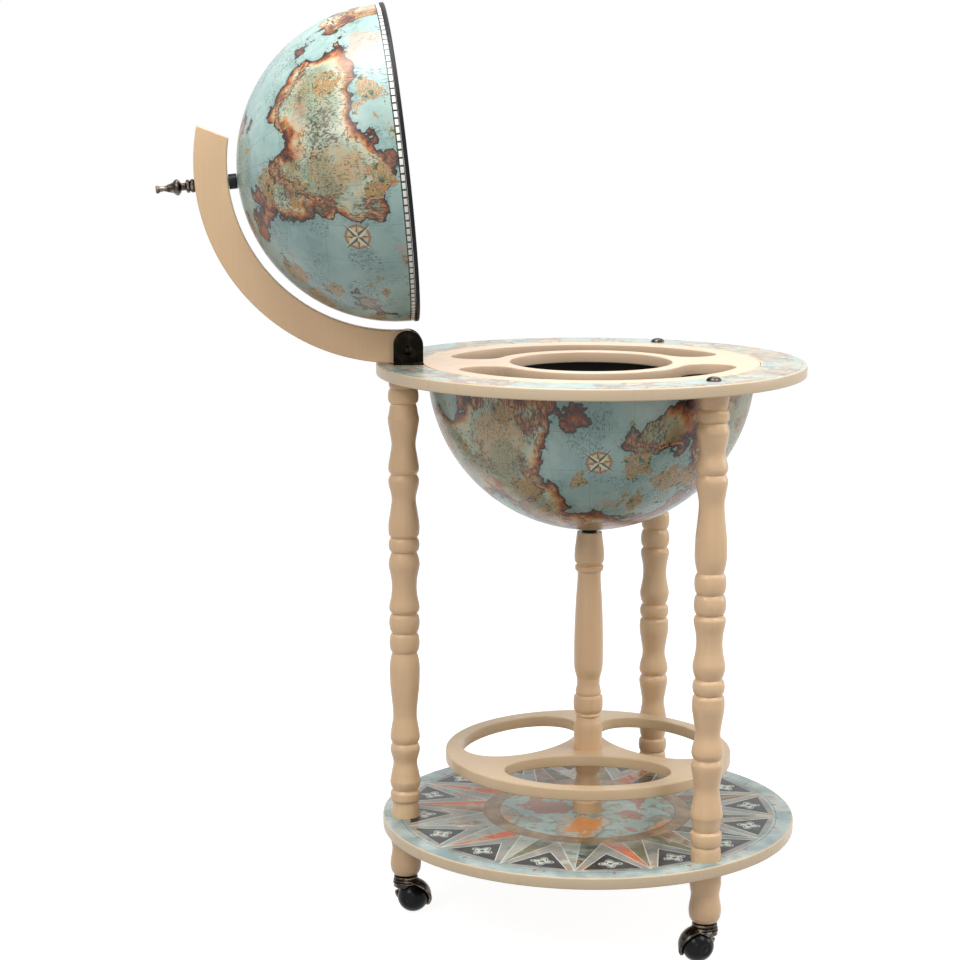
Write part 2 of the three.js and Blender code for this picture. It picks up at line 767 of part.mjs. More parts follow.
// Arm: a curved wooden bow with a foot rounded about the pin, so the brackets hide it, and a slanting tip.
function arm() {
  const armSteps = 20;
  const pinX = -hingeRadius;
  const pinZ = -lidCentreOverPin;
  const pinDistance = Math.hypot(pinX, pinZ);
  const pinAngle = Math.atan2(pinZ, pinX);
  const footRound = armOuterRadius - pinDistance;
  const innerFoot = Math.PI - Math.asin(pinZ / armInnerRadius);
  const innerReach = armInnerRadius * Math.cos(innerFoot) - pinX;
  const innerStretch = innerReach / footRound;
  const innerRound = arc(0, 0, footRound, 3 * quarter, 4 * quarter, 6);
  const outline = [
    ...arc(0, 0, armOuterRadius, quarter - armTipOuterAngle, pinAngle, armSteps),
    ...arc(pinX, pinZ, footRound, pinAngle, 3 * quarter, 6).slice(1),
    ...innerRound.map(({ x, y }) => new THREE.Vector2(pinX + x * innerStretch, pinZ + y)).slice(1),
    ...arc(0, 0, armInnerRadius, innerFoot, quarter - armTipInnerAngle, armSteps).slice(1),
  ];
  const bow = new THREE.ExtrudeGeometry(new THREE.Shape(outline), {
    depth: armThickness - 2 * armBevel,
    bevelThickness: armBevel,
    bevelSize: armBevel,
    bevelOffset: -armBevel,
    bevelSegments: 1,
  });
  bow.rotateX(quarter).translate(0, armThickness / 2 - armBevel, 0);
  const pinBore = cylinder(hingePinRadius + running, -armThickness, armThickness, 16).rotateX(quarter);
  const poleBore = cylinder(polePinRadius + running, lidRadius, armOuterRadius + overrun, 12);
  const body = solid(bow)
    .subtract(solid(pinBore.translate(pinX, 0, pinZ)))
    .subtract(solid(poleBore));
  return geometryOf(body);
}

place(globe, "arm", arm(), creamPaint);

// Lid: the upper half globe, open at the pole for its pin, with a black trim round the rim.
function lidShell() {
  const boreRadius = polePinRadius + running;
  const rimBottom = lidTrimHeight + seat - lidRimDepth;
  const profile = [
    [lidInnerRadius, rimBottom],
    [lidRadius, rimBottom],
    ...domeArc(lidRadius, quarter, Math.asin(boreRadius / lidRadius), globeRings),
    ...domeArc(lidInnerRadius, Math.asin(boreRadius / lidInnerRadius), quarter, globeRings),
  ];
  return lathe(profile, globeSides);
}

function lidTrim() {
  const outer = lidRadius + lidTrimProud;
  const top = lidTrimHeight - lidRimDepth;
  const profile = [
    [lidInnerRadius, -lidRimDepth],
    [outer, -lidRimDepth],
    [outer, top],
    [lidInnerRadius, top],
  ];
  return lathe(profile, globeSides);
}

place(globe, "lid", lidShell(), globePrint);
place(globe, "lid_rim_trim", lidTrim(), blackPlastic);

// Pole fittings: the pin runs from the nut inside the lid, through bush and arm, into the finial.
const washerTop = domeSeat(lidInnerRadius, polePinRadius + running, quarter, poleWasherRadius) - seat;
const nutTop = washerTop - poleWasherHeight;
const pinFoot = nutTop - poleNutHeight;
const finialFoot = armOuterRadius + seat;
const pinLength = finialFoot + finialGrip - pinFoot;
place(globe, "pole_pin", rod(polePinRadius, pinLength), zincSteel, 0, 0, pinFoot);
const poleBushProfile = [
  [polePinRadius + running, lidRadius + seat],
  [poleBushRadius, lidRadius + seat],
  [poleBushRadius, armInnerRadius - 2 * seat],
  [polePinRadius + running, armInnerRadius - 2 * seat],
];
place(globe, "pole_bush", lathe(poleBushProfile, columnSides), blackPlastic);
const poleWasherProfile = [
  [polePinRadius + running, nutTop + seat],
  [poleWasherRadius, nutTop + seat],
  [poleWasherRadius, washerTop],
  [polePinRadius + running, washerTop],
];
place(globe, "pole_washer", lathe(poleWasherProfile, columnSides), zincSteel);
const poleNut = hexNut(poleNutRadius, polePinRadius + running, poleNutHeight);
place(globe, "pole_nut", poleNut, zincSteel, 0, 0, pinFoot);
const finialBore = { radius: polePinRadius + running, depth: finialGrip + seat };
const finial = turned(finialShares, finialLength, finialRadius, legSides, finialBore);
place(globe, "finial", finial, darkBronze, 0, 0, finialFoot);

// Casters. In a caster's own frame the stem stands on the origin and the axle runs along X.
function turnedAlongX(profile, sides) {
  return lathe(profile, sides).rotateZ(Math.PI / sides).rotateY(quarter);
}

function rodAlongX(radius, from, to) {
  const profile = [
    [0, from],
    [radius, from],
    [radius, to],
    [0, to],
  ];
  return turnedAlongX(profile, 10);
}

function casterStem() {
  const bottom = axleHeight + Math.sqrt(hoodCavityRadius ** 2 - (casterTrail - casterStemRadius) ** 2) + seat;
  const profile = [
    [0, bottom],
    [casterStemRadius, bottom],
    [casterStemRadius, casterHeight - stemFlangeHeight],
    [stemFlangeRadius, casterHeight - stemFlangeHeight],
    [stemFlangeRadius, casterHeight],
    [casterStemRadius, casterHeight],
    [casterStemRadius, casterHeight + casterStemGrip],
    [0, casterHeight + casterStemGrip],
  ];
  return lathe(profile, 10);
}

function sphere(radius) {
  return solid(new THREE.SphereGeometry(radius, 14, 7).rotateX(quarter));
}

function casterHood(hand) {
  const trail = hand * casterTrail;
  const span = 2 * hoodRadius;
  const wheelHalf = new THREE.BoxGeometry(span, 2 * span, 2 * span).translate(span / 2, 0, 0);
  const wheelSide = solid(wheelHalf.rotateY(hoodTilt));
  const floorCut = solid(new THREE.BoxGeometry(2 * span, 2 * span, span));
  const cutTop = hoodFloorGap - axleHeight - span / 2;
  const shell = sphere(hoodRadius).subtract(wheelSide).subtract(floorCut.translate(0, 0, cutTop));
  const collarBottom = casterHeight - stemFlangeHeight - seat - collarHeight;
  const collar = solid(turned(collarShares, collarHeight, collarRadius, 14));
  const boss = rodAlongX(axleBossRadius, axleBossRoot - hoodRadius, -wheelFaceDepth - wheelHoodGap);
  const axleBore = rodAlongX(axleRadius + seat, hoodWall - hoodRadius, 0);
  const stemBore = cylinder(casterStemRadius + running, axleHeight, casterHeight, 16);
  return geometryOf(
    shell
      .translate(0, trail, axleHeight)
      .add(collar.translate(0, 0, collarBottom))
      .subtract(sphere(hoodCavityRadius).translate(0, trail, axleHeight))
      .add(solid(boss).translate(0, trail, axleHeight))
      .subtract(solid(axleBore).translate(0, trail, axleHeight))
      .subtract(solid(stemBore)),
  );
}

function casterWheel() {
  const domeSteps = 3;
  const from = Math.asin(wheelTreadHalfWidth / wheelRadius);
  const to = Math.asin(wheelDomeDepth / wheelRadius);
  const dome = Array.from({ length: domeSteps }, (_, i) => {
    const angle = from + ((to - from) * (i + 1)) / domeSteps;
    return [wheelRadius * Math.cos(angle), wheelRadius * Math.sin(angle)];
  });
  const boreEnd = axleReach + wheelHoodGap;
  const profile = [
    [axleRadius + running, -wheelFaceDepth],
    [Math.sqrt(wheelRadius ** 2 - wheelFaceDepth ** 2), -wheelFaceDepth],
    [wheelRadius, -wheelTreadHalfWidth],
    [wheelRadius, wheelTreadHalfWidth],
    ...dome,
    [0, wheelDomeDepth],
    [0, boreEnd],
    [axleRadius + running, boreEnd],
  ];
  return turnedAlongX(profile, wheelSides);
}

function casterAxle() {
  return rodAlongX(axleRadius, hoodWall + seat - hoodRadius, axleReach);
}

legAngles.forEach((angle, i) => {
  const [x, y] = onCircle(legCircleRadius, angle);
  const number = i + 1;
  const caster = new THREE.Group();
  caster.position.set(x, y, 0);
  caster.rotation.z = casterYaws[i];
  stand.add(caster);
  const trail = casterHands[i] * casterTrail;
  place(caster, `caster_stem_${number}`, casterStem(), blackPlastic);
  place(caster, `caster_hood_${number}`, casterHood(casterHands[i]), darkBronze);
  place(caster, `caster_axle_${number}`, casterAxle(), zincSteel, 0, trail, axleHeight);
  place(caster, `caster_wheel_${number}`, casterWheel(), blackPlastic, 0, trail, axleHeight);
});

// The origin goes to the middle of the outline in X and Y, on the floor.
const outline = new THREE.Box3().setFromObject(globeBar, true);
const middle = outline.getCenter(new THREE.Vector3());
stand.position.set(-middle.x, -middle.y, -outline.min.z);

export default globeBar;
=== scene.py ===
"""A floor globe bar dressed round its frame: metres, +Z up, every piece in the frame's own place."""
import json
import math

import bmesh
import bpy
import numpy as np
from mathutils import Matrix, Vector
from mathutils.bvhtree import BVHTree


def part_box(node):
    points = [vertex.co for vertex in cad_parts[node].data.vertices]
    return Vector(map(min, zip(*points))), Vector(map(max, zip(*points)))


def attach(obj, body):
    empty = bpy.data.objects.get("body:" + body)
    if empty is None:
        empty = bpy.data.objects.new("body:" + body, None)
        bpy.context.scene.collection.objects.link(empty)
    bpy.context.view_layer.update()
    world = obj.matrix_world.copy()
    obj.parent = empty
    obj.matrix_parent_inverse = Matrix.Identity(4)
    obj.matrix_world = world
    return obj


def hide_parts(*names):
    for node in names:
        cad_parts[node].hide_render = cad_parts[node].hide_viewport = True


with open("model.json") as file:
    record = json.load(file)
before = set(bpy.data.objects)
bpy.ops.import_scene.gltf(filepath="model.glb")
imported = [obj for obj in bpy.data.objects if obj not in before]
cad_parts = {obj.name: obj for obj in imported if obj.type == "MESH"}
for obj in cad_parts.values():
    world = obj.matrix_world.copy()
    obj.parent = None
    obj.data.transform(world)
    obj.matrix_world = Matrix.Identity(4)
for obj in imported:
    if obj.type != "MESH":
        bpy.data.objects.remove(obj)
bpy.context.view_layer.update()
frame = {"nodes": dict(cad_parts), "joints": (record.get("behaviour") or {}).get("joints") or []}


# Camera
# A long lens at standing height, a little to the hinge side and looking slightly down.
def placed(name, data):
    """A new object in the scene."""
    thing = bpy.data.objects.new(name, data)
    bpy.context.scene.collection.objects.link(thing)
    return thing


camera_data = bpy.data.cameras.new("camera")
camera_data.lens = 87.7
camera_data.sensor_width = 36.0
camera = placed("camera", camera_data)
camera_heading = math.radians(85.03)
camera_pitch = math.radians(-9.81)
camera_aim = Vector((math.cos(camera_heading), math.sin(camera_heading), math.tan(camera_pitch)))
camera.location = (-0.2148, -2.4166, 0.8907)
camera.rotation_euler = camera_aim.to_track_quat("-Z", "Y").to_euler()
bpy.context.scene.camera = camera
bpy.context.scene.view_settings.view_transform = "Standard"

# Studio
# A white sweep without edges, under soft lamps: one above, one high at each side, weak ones from the right and the
# front, and one behind that keeps the back in sight.
floor_half = 6.0
floor_albedo = 0.3
floor_lift = 0.925
ambient = 0.27


class Ink:
    """A value in a node tree. Numbers can be added, scaled and compared, and | keeps the greater of two."""

    def __init__(self, socket):
        self.socket = socket
        self.tree = socket.id_data

    def math(self, operation, *others):
        return draw("Math", dict(enumerate((self, *others))), operation=operation)

    def __add__(self, other):
        return self.math("ADD", other)

    def __sub__(self, other):
        return self.math("SUBTRACT", other)

    def __mul__(self, other):
        return self.math("MULTIPLY", other)

    def __truediv__(self, other):
        return self.math("DIVIDE", other)

    def __or__(self, other):
        return self.math("MAXIMUM", other)

    def __abs__(self):
        return self.math("ABSOLUTE")

    def above(self, edge):
        return self.math("GREATER_THAN", edge)

    def below(self, edge):
        return self.math("LESS_THAN", edge)

    def band(self, low, high):
        return self.above(low) * self.below(high)

    def between(self, low, high):
        """Rises smoothly from 0 at low to 1 at high."""
        sockets = {"Value": self, "From Min": low, "From Max": high}
        return draw("MapRange", sockets, interpolation_type="SMOOTHSTEP")


def paint(code):
    """A colour chart code as linear red, green and blue, with full cover."""
    parts = [int(code[i : i + 2], 16) / 255 for i in (0, 2, 4)]
    return (*[c / 12.92 if c <= 0.04045 else ((c + 0.055) / 1.055) ** 2.4 for c in parts], 1.0)


def feed(plug, value):
    """Feeds a socket with an Ink, a colour chart code or a plain value."""
    if isinstance(value, Ink):
        value.tree.links.new(value.socket, plug)
    else:
        plug.default_value = paint(value) if isinstance(value, str) else value


def make(kind, sockets, tree=None, **settings):
    """A node with its settings and fed sockets, in the tree of its first Ink where none is given.

    The tree's own name completes the kind, such as Math to ShaderNodeMath.
    """
    if tree is None:
        tree = next(value.tree for value in sockets.values() if isinstance(value, Ink))
    node = tree.nodes.new(tree.bl_idname.removesuffix("Tree") + kind)
    for name, value in settings.items():
        setattr(node, name, value)
    for name, value in sockets.items():
        feed(node.inputs[name], value)
    return node


def draw(kind, sockets, output=0, **settings):
    """The Ink of one output of such a node."""
    return Ink(make(kind, sockets, **settings).outputs[output])


def seen_directly(tree):
    """1 for rays from the camera, a mirror or glass, and 0 for light that falls on other things."""
    path = make("LightPath", {}, tree)
    rays = [Ink(path.outputs[f"Is {kind} Ray"]) for kind in ("Camera", "Glossy", "Transmission")]
    return rays[0] | rays[1] | rays[2]


world = bpy.data.worlds.new("studio")
bpy.context.scene.world = world
world.use_nodes = True
sky = world.node_tree
background = sky.nodes["Background"]
background.inputs["Color"].default_value = (1, 1, 1, 1)
sky_level = {"Value": seen_directly(sky), "To Min": ambient, "To Max": 1.0}
feed(background.inputs["Strength"], draw("MapRange", sky_level))

floor_material = bpy.data.materials.new("white sweep")
floor_material.use_nodes = True
floor_tree = floor_material.node_tree
floor_tree.nodes.clear()
matte = draw("BsdfDiffuse", {"Color": (floor_albedo, floor_albedo, floor_albedo, 1)}, tree=floor_tree)
glow = draw("Emission", {"Strength": seen_directly(floor_tree) * floor_lift})
make("OutputMaterial", {"Surface": draw("AddShader", {0: matte, 1: glow})})
floor_mesh = bpy.data.meshes.new("floor")
corners = [(-1, -1), (1, -1), (1, 1), (-1, 1)]
floor_mesh.from_pydata([(x * floor_half, y * floor_half, 0) for x, y in corners], [], [(0, 1, 2, 3)])
floor_mesh.materials.append(floor_material)
floor = placed("floor", floor_mesh)

lamps = {
    "lamp_above": ((-0.4, -0.4, 2.7), 1.5, 48.0),
    "lamp_hinge_side": ((-1.6, -1.6, 2.2), 1.2, 24.0),
    "lamp_high_right": ((1.3, -0.9, 2.2), 1.2, 22.0),
    "lamp_right": ((2.5, 0.1, 1.0), 1.2, 14.0),
    "lamp_front": ((-0.6, -2.6, 1.0), 1.2, 5.0),
    "lamp_behind": ((0.6, 1.5, 2.9), 1.2, 14.0),
}
lamp_target = Vector((0.0, 0.0, 0.55))
for lamp_name, (place, side, watts) in lamps.items():
    lamp_data = bpy.data.lights.new(lamp_name, "AREA")
    lamp_data.shape = "DISK"
    lamp_data.size = side
    lamp_data.energy = watts
    lamp = placed(lamp_name, lamp_data)
    lamp.location = place
    lamp.rotation_euler = (lamp_target - Vector(place)).to_track_quat("-Z", "Y").to_euler()


# Feet and legs
# Three beech turnings on three short feet, sprayed satin cream. A stud in each end joins leg, shelf and foot.
MM = 0.001


def mottle(where, scale, detail=2.0, roughness=0.5):
    sockets = {"Vector": where, "Scale": scale, "Detail": detail, "Roughness": roughness}
    return draw("TexNoise", sockets)


def stretched(where, scale, turn=(0, 0, 0)):
    """Coordinates scaled along each axis, for patterns that run one way."""
    return draw("Mapping", {"Vector": where, "Rotation": turn, "Scale": scale})


def ramp(value, stops, interpolation="LINEAR"):
    """The colour at value between the stops, each a place from 0 to 1 and a colour chart code."""
    node = make("ValToRGB", {"Fac": value})
    node.color_ramp.interpolation = interpolation
    while len(node.color_ramp.elements) < len(stops):
        node.color_ramp.elements.new(0.5)
    for element, (place, code) in zip(node.color_ramp.elements, stops):
        element.position = place
        element.color = paint(code)
    return Ink(node.outputs["Color"])


def new_group(name, inputs, outputs, kind="ShaderNodeTree"):
    """An empty node group, the Ink of each of its inputs, and a function that feeds an output."""
    tree = bpy.data.node_groups.new(name, kind)
    for direction, sockets in (("INPUT", inputs), ("OUTPUT", outputs)):
        for label, socket in sockets.items():
            tree.interface.new_socket(label, in_out=direction, socket_type="NodeSocket" + socket)
    entry = tree.nodes.new("NodeGroupInput")
    leave = tree.nodes.new("NodeGroupOutput")
    ink = {label: Ink(entry.outputs[label]) for label in inputs}
    return tree, ink, lambda label, value: feed(leave.inputs[label], value)


def use_group(group, *values):
    """Places a group, feeds its inputs in order, and returns the Ink of each of its outputs."""
    node = make("Group", dict(enumerate(values)), node_tree=group)
    return {output.name: Ink(output) for output in node.outputs}


def new_material(name, centre=(0, 0, 0), turn=(0, 0, 0), **sockets):
    """A material, its coordinates from centre and turned back by turn, and its shader with plain values."""
    material = bpy.data.materials.new(name)
    material.use_nodes = True
    shader = material.node_tree.nodes["Principled BSDF"]
    for label, value in sockets.items():
        shader.inputs[label.replace("_", " ")].default_value = value
    source = draw("TexCoord", {}, "Object", tree=material.node_tree)
    mapping = {"Vector": source, "Location": centre, "Rotation": turn}
    return material, draw("Mapping", mapping, vector_type="TEXTURE"), shader


def surface(shader, colour, roughness, relief, strength, depth):
    """Feeds a shader with its colour, its roughness and the relief of its surface."""
    normal = draw("Bump", {"Strength": strength, "Distance": depth, "Height": relief})
    for label, ink in (("Base Color", colour), ("Roughness", roughness), ("Normal", normal)):
        feed(shader.inputs[label], ink)


# The sprayed surface that all lacquered pieces share: faint clouds in the colour, a sheen that varies,
# and the fine orange peel of a spray gun.
lacquer_group, lacquer_in, lacquer_out = new_group(
    "sprayed lacquer",
    {"Place": "Vector", "Sheen": "Float", "Clouds": "Float"},
    {"Shade": "Float", "Roughness": "Float", "Peel": "Float"},
)
lacquer_out("Shade", (mottle(lacquer_in["Place"], 11.0, 4.0, 0.6) - 0.5) * lacquer_in["Clouds"] + 1.0)
lacquer_out("Roughness", lacquer_in["Sheen"] + (mottle(lacquer_in["Place"], 38.0, 3.0) - 0.5) * 0.22)
lacquer_out("Peel", mottle(lacquer_in["Place"], 620.0, 1.0))


def lacquer(shader, place, colour, sheen, clouds, peel):
    """Feeds a shader with a colour under sprayed lacquer."""
    film = use_group(lacquer_group, place, sheen, clouds)
    shaded = draw("HueSaturation", {"Color": colour, "Value": film["Shade"]})
    surface(shader, shaded, film["Roughness"], film["Peel"], peel, 0.02 * MM)


def sprayed(name, grain, tones, sheen, clouds, peel, **sockets):
    """A lacquered material in two near tones. Grain is the scale and detail of their mottling."""
    material, place, shader = new_material(name, **sockets)
    lacquer(shader, place, ramp(mottle(place, *grain), list(zip((0.3, 0.7), tones))), sheen, clouds, peel)
    return material


# Cream spray over beech, thick enough to hide all but a trace of the grain.
cream, cream_place, cream_shader = new_material("cream lacquered beech", IOR=1.5)
grain = mottle(stretched(cream_place, (260.0, 260.0, 14.0)), 1.0, 3.0, 0.6)
cream_colour = ramp(grain, [(0.3, "DEBA91"), (0.5, "DFBB92"), (0.7, "E1BE96")])
lacquer(cream_shader, cream_place, cream_colour, 0.33, 0.05, 0.2)

# The lathe: an outline of radius and height, swept round one metre out and brought back by that metre.
weld = 0.002 * MM
lathe_tree, lathe_in, lathe_out = new_group(
    "lathe",
    {"Outline": "Geometry", "Sides": "Int", "Finish": "Material"},
    {"Piece": "Geometry"},
    "GeometryNodeTree",
)
path = draw("CurvePrimitiveCircle", {"Resolution": lathe_in["Sides"], "Radius": 1.0})
swept = draw("CurveToMesh", {"Curve": path, "Profile Curve": lathe_in["Outline"]})
welded = draw("MergeByDistance", {"Geometry": swept, "Distance": weld})
real = draw("RealizeInstances", {"Geometry": welded})
lathe_out("Piece", draw("SetMaterial", {"Geometry": real, "Material": lathe_in["Finish"]}))


def as_mesh(maker, name):
    """The plain mesh that an object's modifiers make. The maker is removed."""
    graph = bpy.context.evaluated_depsgraph_get()
    mesh = bpy.data.meshes.new_from_object(maker.evaluated_get(graph), depsgraph=graph)
    mesh.name = name
    bpy.data.objects.remove(maker)
    return mesh


def shaped(name, data, tree, values):
    """The plain mesh that a Geometry Nodes tree makes of data, with values set by their labels."""
    maker = placed(f"{name} work", data)
    modifier = maker.modifiers.new(name, "NODES")
    modifier.node_group = tree
    for item in tree.interface.items_tree:
        if item.in_out == "INPUT" and item.name in values:
            modifier[item.identifier] = values[item.name]
    return as_mesh(maker, name)


def settle(mesh, matrix=None, smooth_angle=38.0):
    """Places a mesh, turns its faces outwards, and shades it smooth but for its real edges."""
    if matrix is not None:
        mesh.transform(matrix)
    work = bmesh.new()
    work.from_mesh(mesh)
    bmesh.ops.remove_doubles(work, verts=work.verts, dist=weld)
    bmesh.ops.recalc_face_normals(work, faces=work.faces)
    if work.calc_volume(signed=True) < 0:
        bmesh.ops.reverse_faces(work, faces=work.faces)
    work.to_mesh(mesh)
    work.free()
    mesh.shade_smooth()
    mesh.set_sharp_from_angle(angle=math.radians(smooth_angle))
    return mesh


def coat(mesh, material):
    """Gives a mesh one material only."""
    mesh.materials.clear()
    mesh.materials.append(material)


def piece(name, mesh, body, replaced=(), material=None):
    """A finished piece on its body."""
    if material is not None:
        coat(mesh, material)
    obj = placed(name, mesh)
    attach(obj, body)
    if replaced:
        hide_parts(*replaced)


def add_line(curve, points, closed):
    """Adds a line with straight sides to a curve."""
    line = curve.splines.new("POLY")
    line.points.add(len(points) - 1)
    line.use_cyclic_u = closed
    for point, (x, y) in zip(line.points, points):
        point.co = (x, y, 0.0, 1.0)


def turned(outline, foot, along=(0, 0, 1), material=cream, sides=72, closed=False, smooth_angle=38.0):
    """A mesh turned from radius and height pairs: a ring if closed, and down to its axis if not."""
    curve = bpy.data.curves.new("outline", "CURVE")
    curve.dimensions = "3D"
    add_line(curve, [(radius - 1.0, -height) for radius, height in outline], closed)
    mesh = shaped("turned", curve, lathe_tree, {"Sides": sides, "Finish": material})
    standing = Matrix.Translation(foot) @ Vector(along).to_track_quat("Z", "Y").to_matrix().to_4x4()
    return settle(mesh, standing, smooth_angle)


def node_outline(node, foot, along=(0, 0, 1)):
    """The outside radius and height pairs of a turned node, read along its own corners."""
    mesh = frame["nodes"][node].data
    along = Vector(along)
    tree = BVHTree.FromPolygons([v.co for v in mesh.vertices], [p.vertices for p in mesh.polygons])
    heights = sorted({round((v.co - Vector(foot)).dot(along), 6) for v in mesh.vertices})
    inset = 0.02 * MM
    least_step = 0.1 * MM
    out = Vector((0, -1, 0))
    pairs = []
    for height in heights:
        level = min(max(height, heights[0] + inset), heights[-1] - inset)
        distance = tree.ray_cast(Vector(foot) + along * level + out, -out)[3]
        if not pairs or height - pairs[-1][1] > least_step:
            pairs.append((1.0 - distance, height))
    return pairs


def carved(pairs, steps=6, groove=7 * MM, drop=0.5 * MM, sharp=1.8):
    """A line through the pairs, level at each crest and hollow, with a sharp V where a hollow is narrow."""
    rises = [(b[0] - a[0]) / (b[1] - a[1]) for a, b in zip(pairs, pairs[1:])]
    leaving = [rises[0]]
    arriving = [rises[0]]
    for before, after, a, b, c in zip(rises, rises[1:], pairs, pairs[1:], pairs[2:]):
        slope = 2 * before * after / (before + after) if before * after > 0 else 0.0
        narrow = min(b[1] - a[1], c[1] - b[1]) < groove and min(a[0], c[0]) - b[0] > drop
        arriving.append(sharp * before if narrow else slope)
        leaving.append(sharp * after if narrow else slope)
    arriving.append(rises[-1])
    line = []
    for i, (a, b) in enumerate(zip(pairs, pairs[1:])):
        span = b[1] - a[1]
        for t in (k / steps for k in range(steps)):
            weights = (2 * t**3 - 3 * t**2 + 1, 3 * t**2 - 2 * t**3)
            bends = ((t**3 - 2 * t**2 + t) * span, (t**3 - t**2) * span)
            radius = weights[0] * a[0] + weights[1] * b[0] + bends[0] * leaving[i] + bends[1] * arriving[i + 1]
            line.append((radius, a[1] + t * span))
    return [(0.0, pairs[0][1]), *line, pairs[-1], (0.0, pairs[-1][1])]


def middle(node):
    """The middle of a node's box."""
    low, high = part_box(node)
    return (low + high) / 2


def foot_of(node):
    """The lowest point of an upright turned node, on its own axis."""
    centre = middle(node)
    return Vector((centre.x, centre.y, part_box(node)[0].z))


def turn_wood(*nodes):
    """Turns upright wooden pieces with their nodes' outlines."""
    for node in nodes:
        outline = carved(node_outline(node, foot_of(node)))
        piece(f"turned_{node}", turned(outline, foot_of(node)), "stand", [node])


turn_wood(*[f"{kind}_{number}" for number in (1, 2, 3) for kind in ("leg", "foot")])

# Column
# Two turned lengths between shelf and bowl, clamped on the bottle ring by a stud inside.
turn_wood("column_lower", "column_upper")

# Bottle ring
# A 12 mm board with three oval holes for bottles, its edges eased by a router. Its cream is darker than the beech's:
# painted shade from the bowl and table above it.
shaded_ring_cream = sprayed("cream board with painted shade", (24.0, 4.0), ("CFB28C", "D6BB97"), 0.34, 0.06, 0.3, IOR=1.48)
full_turn = 2 * math.pi
column_axis = foot_of("column_upper")
ring_radius = 153 * MM
oval_half_width = 86.5 * MM
oval_half_depth = 52.5 * MM
oval_centre_radius = 84.5 * MM
oval_turn = math.radians(-97.7)
board_fillet = 1.4 * MM
ring_steps = 180


def plate(outlines, thickness, fillet, matrix):
    """A plate of the given outlines, from its lower face up, with rounded edges. The first is its outside."""
    curve = bpy.data.curves.new("plate", "CURVE")
    curve.dimensions = "2D"
    curve.fill_mode = "BOTH"
    curve.extrude = thickness / 2 - fillet
    curve.bevel_depth = fillet
    curve.bevel_resolution = 3
    curve.offset = -fillet
    for outline in outlines:
        add_line(curve, outline, True)
    lifted = matrix @ Matrix.Translation((0, 0, thickness / 2))
    mesh = settle(as_mesh(placed("plate work", curve), "plate"), lifted)
    normal = lifted.to_3x3() @ Vector((0, 0, 1))
    work = bmesh.new()
    work.from_mesh(mesh)
    for face in work.faces:
        face.smooth = abs(face.normal.dot(normal)) < 0.999
    for edge in work.edges:
        edge.smooth = all(face.smooth for face in edge.link_faces)
    work.to_mesh(mesh)
    work.free()
    return mesh


def arc(centre, radius, start, end, steps):
    """Points of an arc, from one angle to the other, with both ends."""
    angles = np.linspace(start, end, steps + 1)
    return [(centre[0] + radius * math.cos(a), centre[1] + radius * math.sin(a)) for a in angles]


def circle(radius, steps):
    return arc((0, 0), radius, 0, full_turn, steps)[:-1]


def oval(turn):
    points = []
    for angle in np.linspace(0, full_turn, ring_steps, endpoint=False):
        across = oval_centre_radius + oval_half_depth * math.cos(angle)
        along = oval_half_width * math.sin(angle)
        x = across * math.cos(turn) - along * math.sin(turn)
        y = across * math.sin(turn) + along * math.cos(turn)
        points.append((x, y))
    return points


def board(name, node, outlines, material):
    """A board cut to its outlines, which lie round the column's axis."""
    low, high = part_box(node)
    foot = Matrix.Translation((column_axis.x, column_axis.y, low.z))
    mesh = plate(outlines, high.z - low.z, board_fillet, foot)
    piece(name, mesh, "stand", [node], material)


ovals = [oval(oval_turn + k * full_turn / 3) for k in range(3)]
# The ring takes the darker cream of painted shade.
board("bottle_ring_board", "bottle_ring", [circle(ring_radius, ring_steps), *ovals], shaded_ring_cream)


# Shelf
# A 12 mm board under a printed and lacquered star card: medallion, gold ring, sixteen rays and a pale band.
# The prints of shelf, table and globe share one drawing of an old chart, all of it invented.
def blend(mask, under, over, kind="MIX"):
    """Colour over laid on colour under where mask is 1."""
    return draw("Mix", {0: mask, 6: under, 7: over}, 2, data_type="RGBA", blend_type=kind)


def layered(under, *coats):
    """Lays colours on a colour, each with its mask, from the bottom up."""
    for mask, over in coats:
        under = blend(mask, under, over)
    return under


def thin_line(value, half):
    """1 where value lies within half of zero."""
    return abs(value).below(half)


def cells(where, scale):
    """The distance to the nearest of many scattered points."""
    return draw("TexVoronoi", {"Vector": where, "Scale": scale})


def length(x, y):
    return (x * x + y * y).math("SQRT")


chart_group, chart_in, chart_out = new_group(
    "old chart",
    {"Place": "Vector", "Shore": "Float", "Scale": "Float", "Figures": "Float"},
    {"Color": "Color"},
)
chart_place = draw("VectorMath", {0: chart_in["Place"], "Scale": chart_in["Scale"]}, operation="SCALE")
height = mottle(chart_place, 6.3, 9.0, 0.56) - chart_in["Shore"]
sea_tones = [(0.3, "8FACA8"), (0.45, "A3BFB9"), (0.58, "B4CCC5"), (0.75, "CBDAD2")]
ripples = (height * 190.0).math("FRACT").between(0.55, 0.75) * height.band(-0.026, 0.0)
sea = layered(ramp(mottle(chart_place, 19.0, 5.0, 0.62), sea_tones), (ripples * 0.5, "5D7C7A"))
hills = mottle(chart_place, 31.0, 6.0, 0.62)
coast_tones = [(0.0, "572A1F"), (0.07, "864228"), (0.16, "B5673E"), (0.26, "CF9763")]
inland_tones = [(0.39, "DFC59B"), (0.55, "D3D3B8"), (0.78, "B9C6B0"), (1.0, "CDB088")]
patch = mottle(chart_place, 11.0, 4.0, 0.6)
range_line = abs(mottle(chart_place, 8.5, 3.0, 0.55) - 0.5)
hatching = mottle(stretched(chart_place, (520.0, 520.0, 90.0), (0.5, 0.3, 0.8)), 1.0, 2.0)
ridge = height.between(0.026, 0.006) | hills.between(0.54, 0.62) | range_line.between(0.05, 0.03)
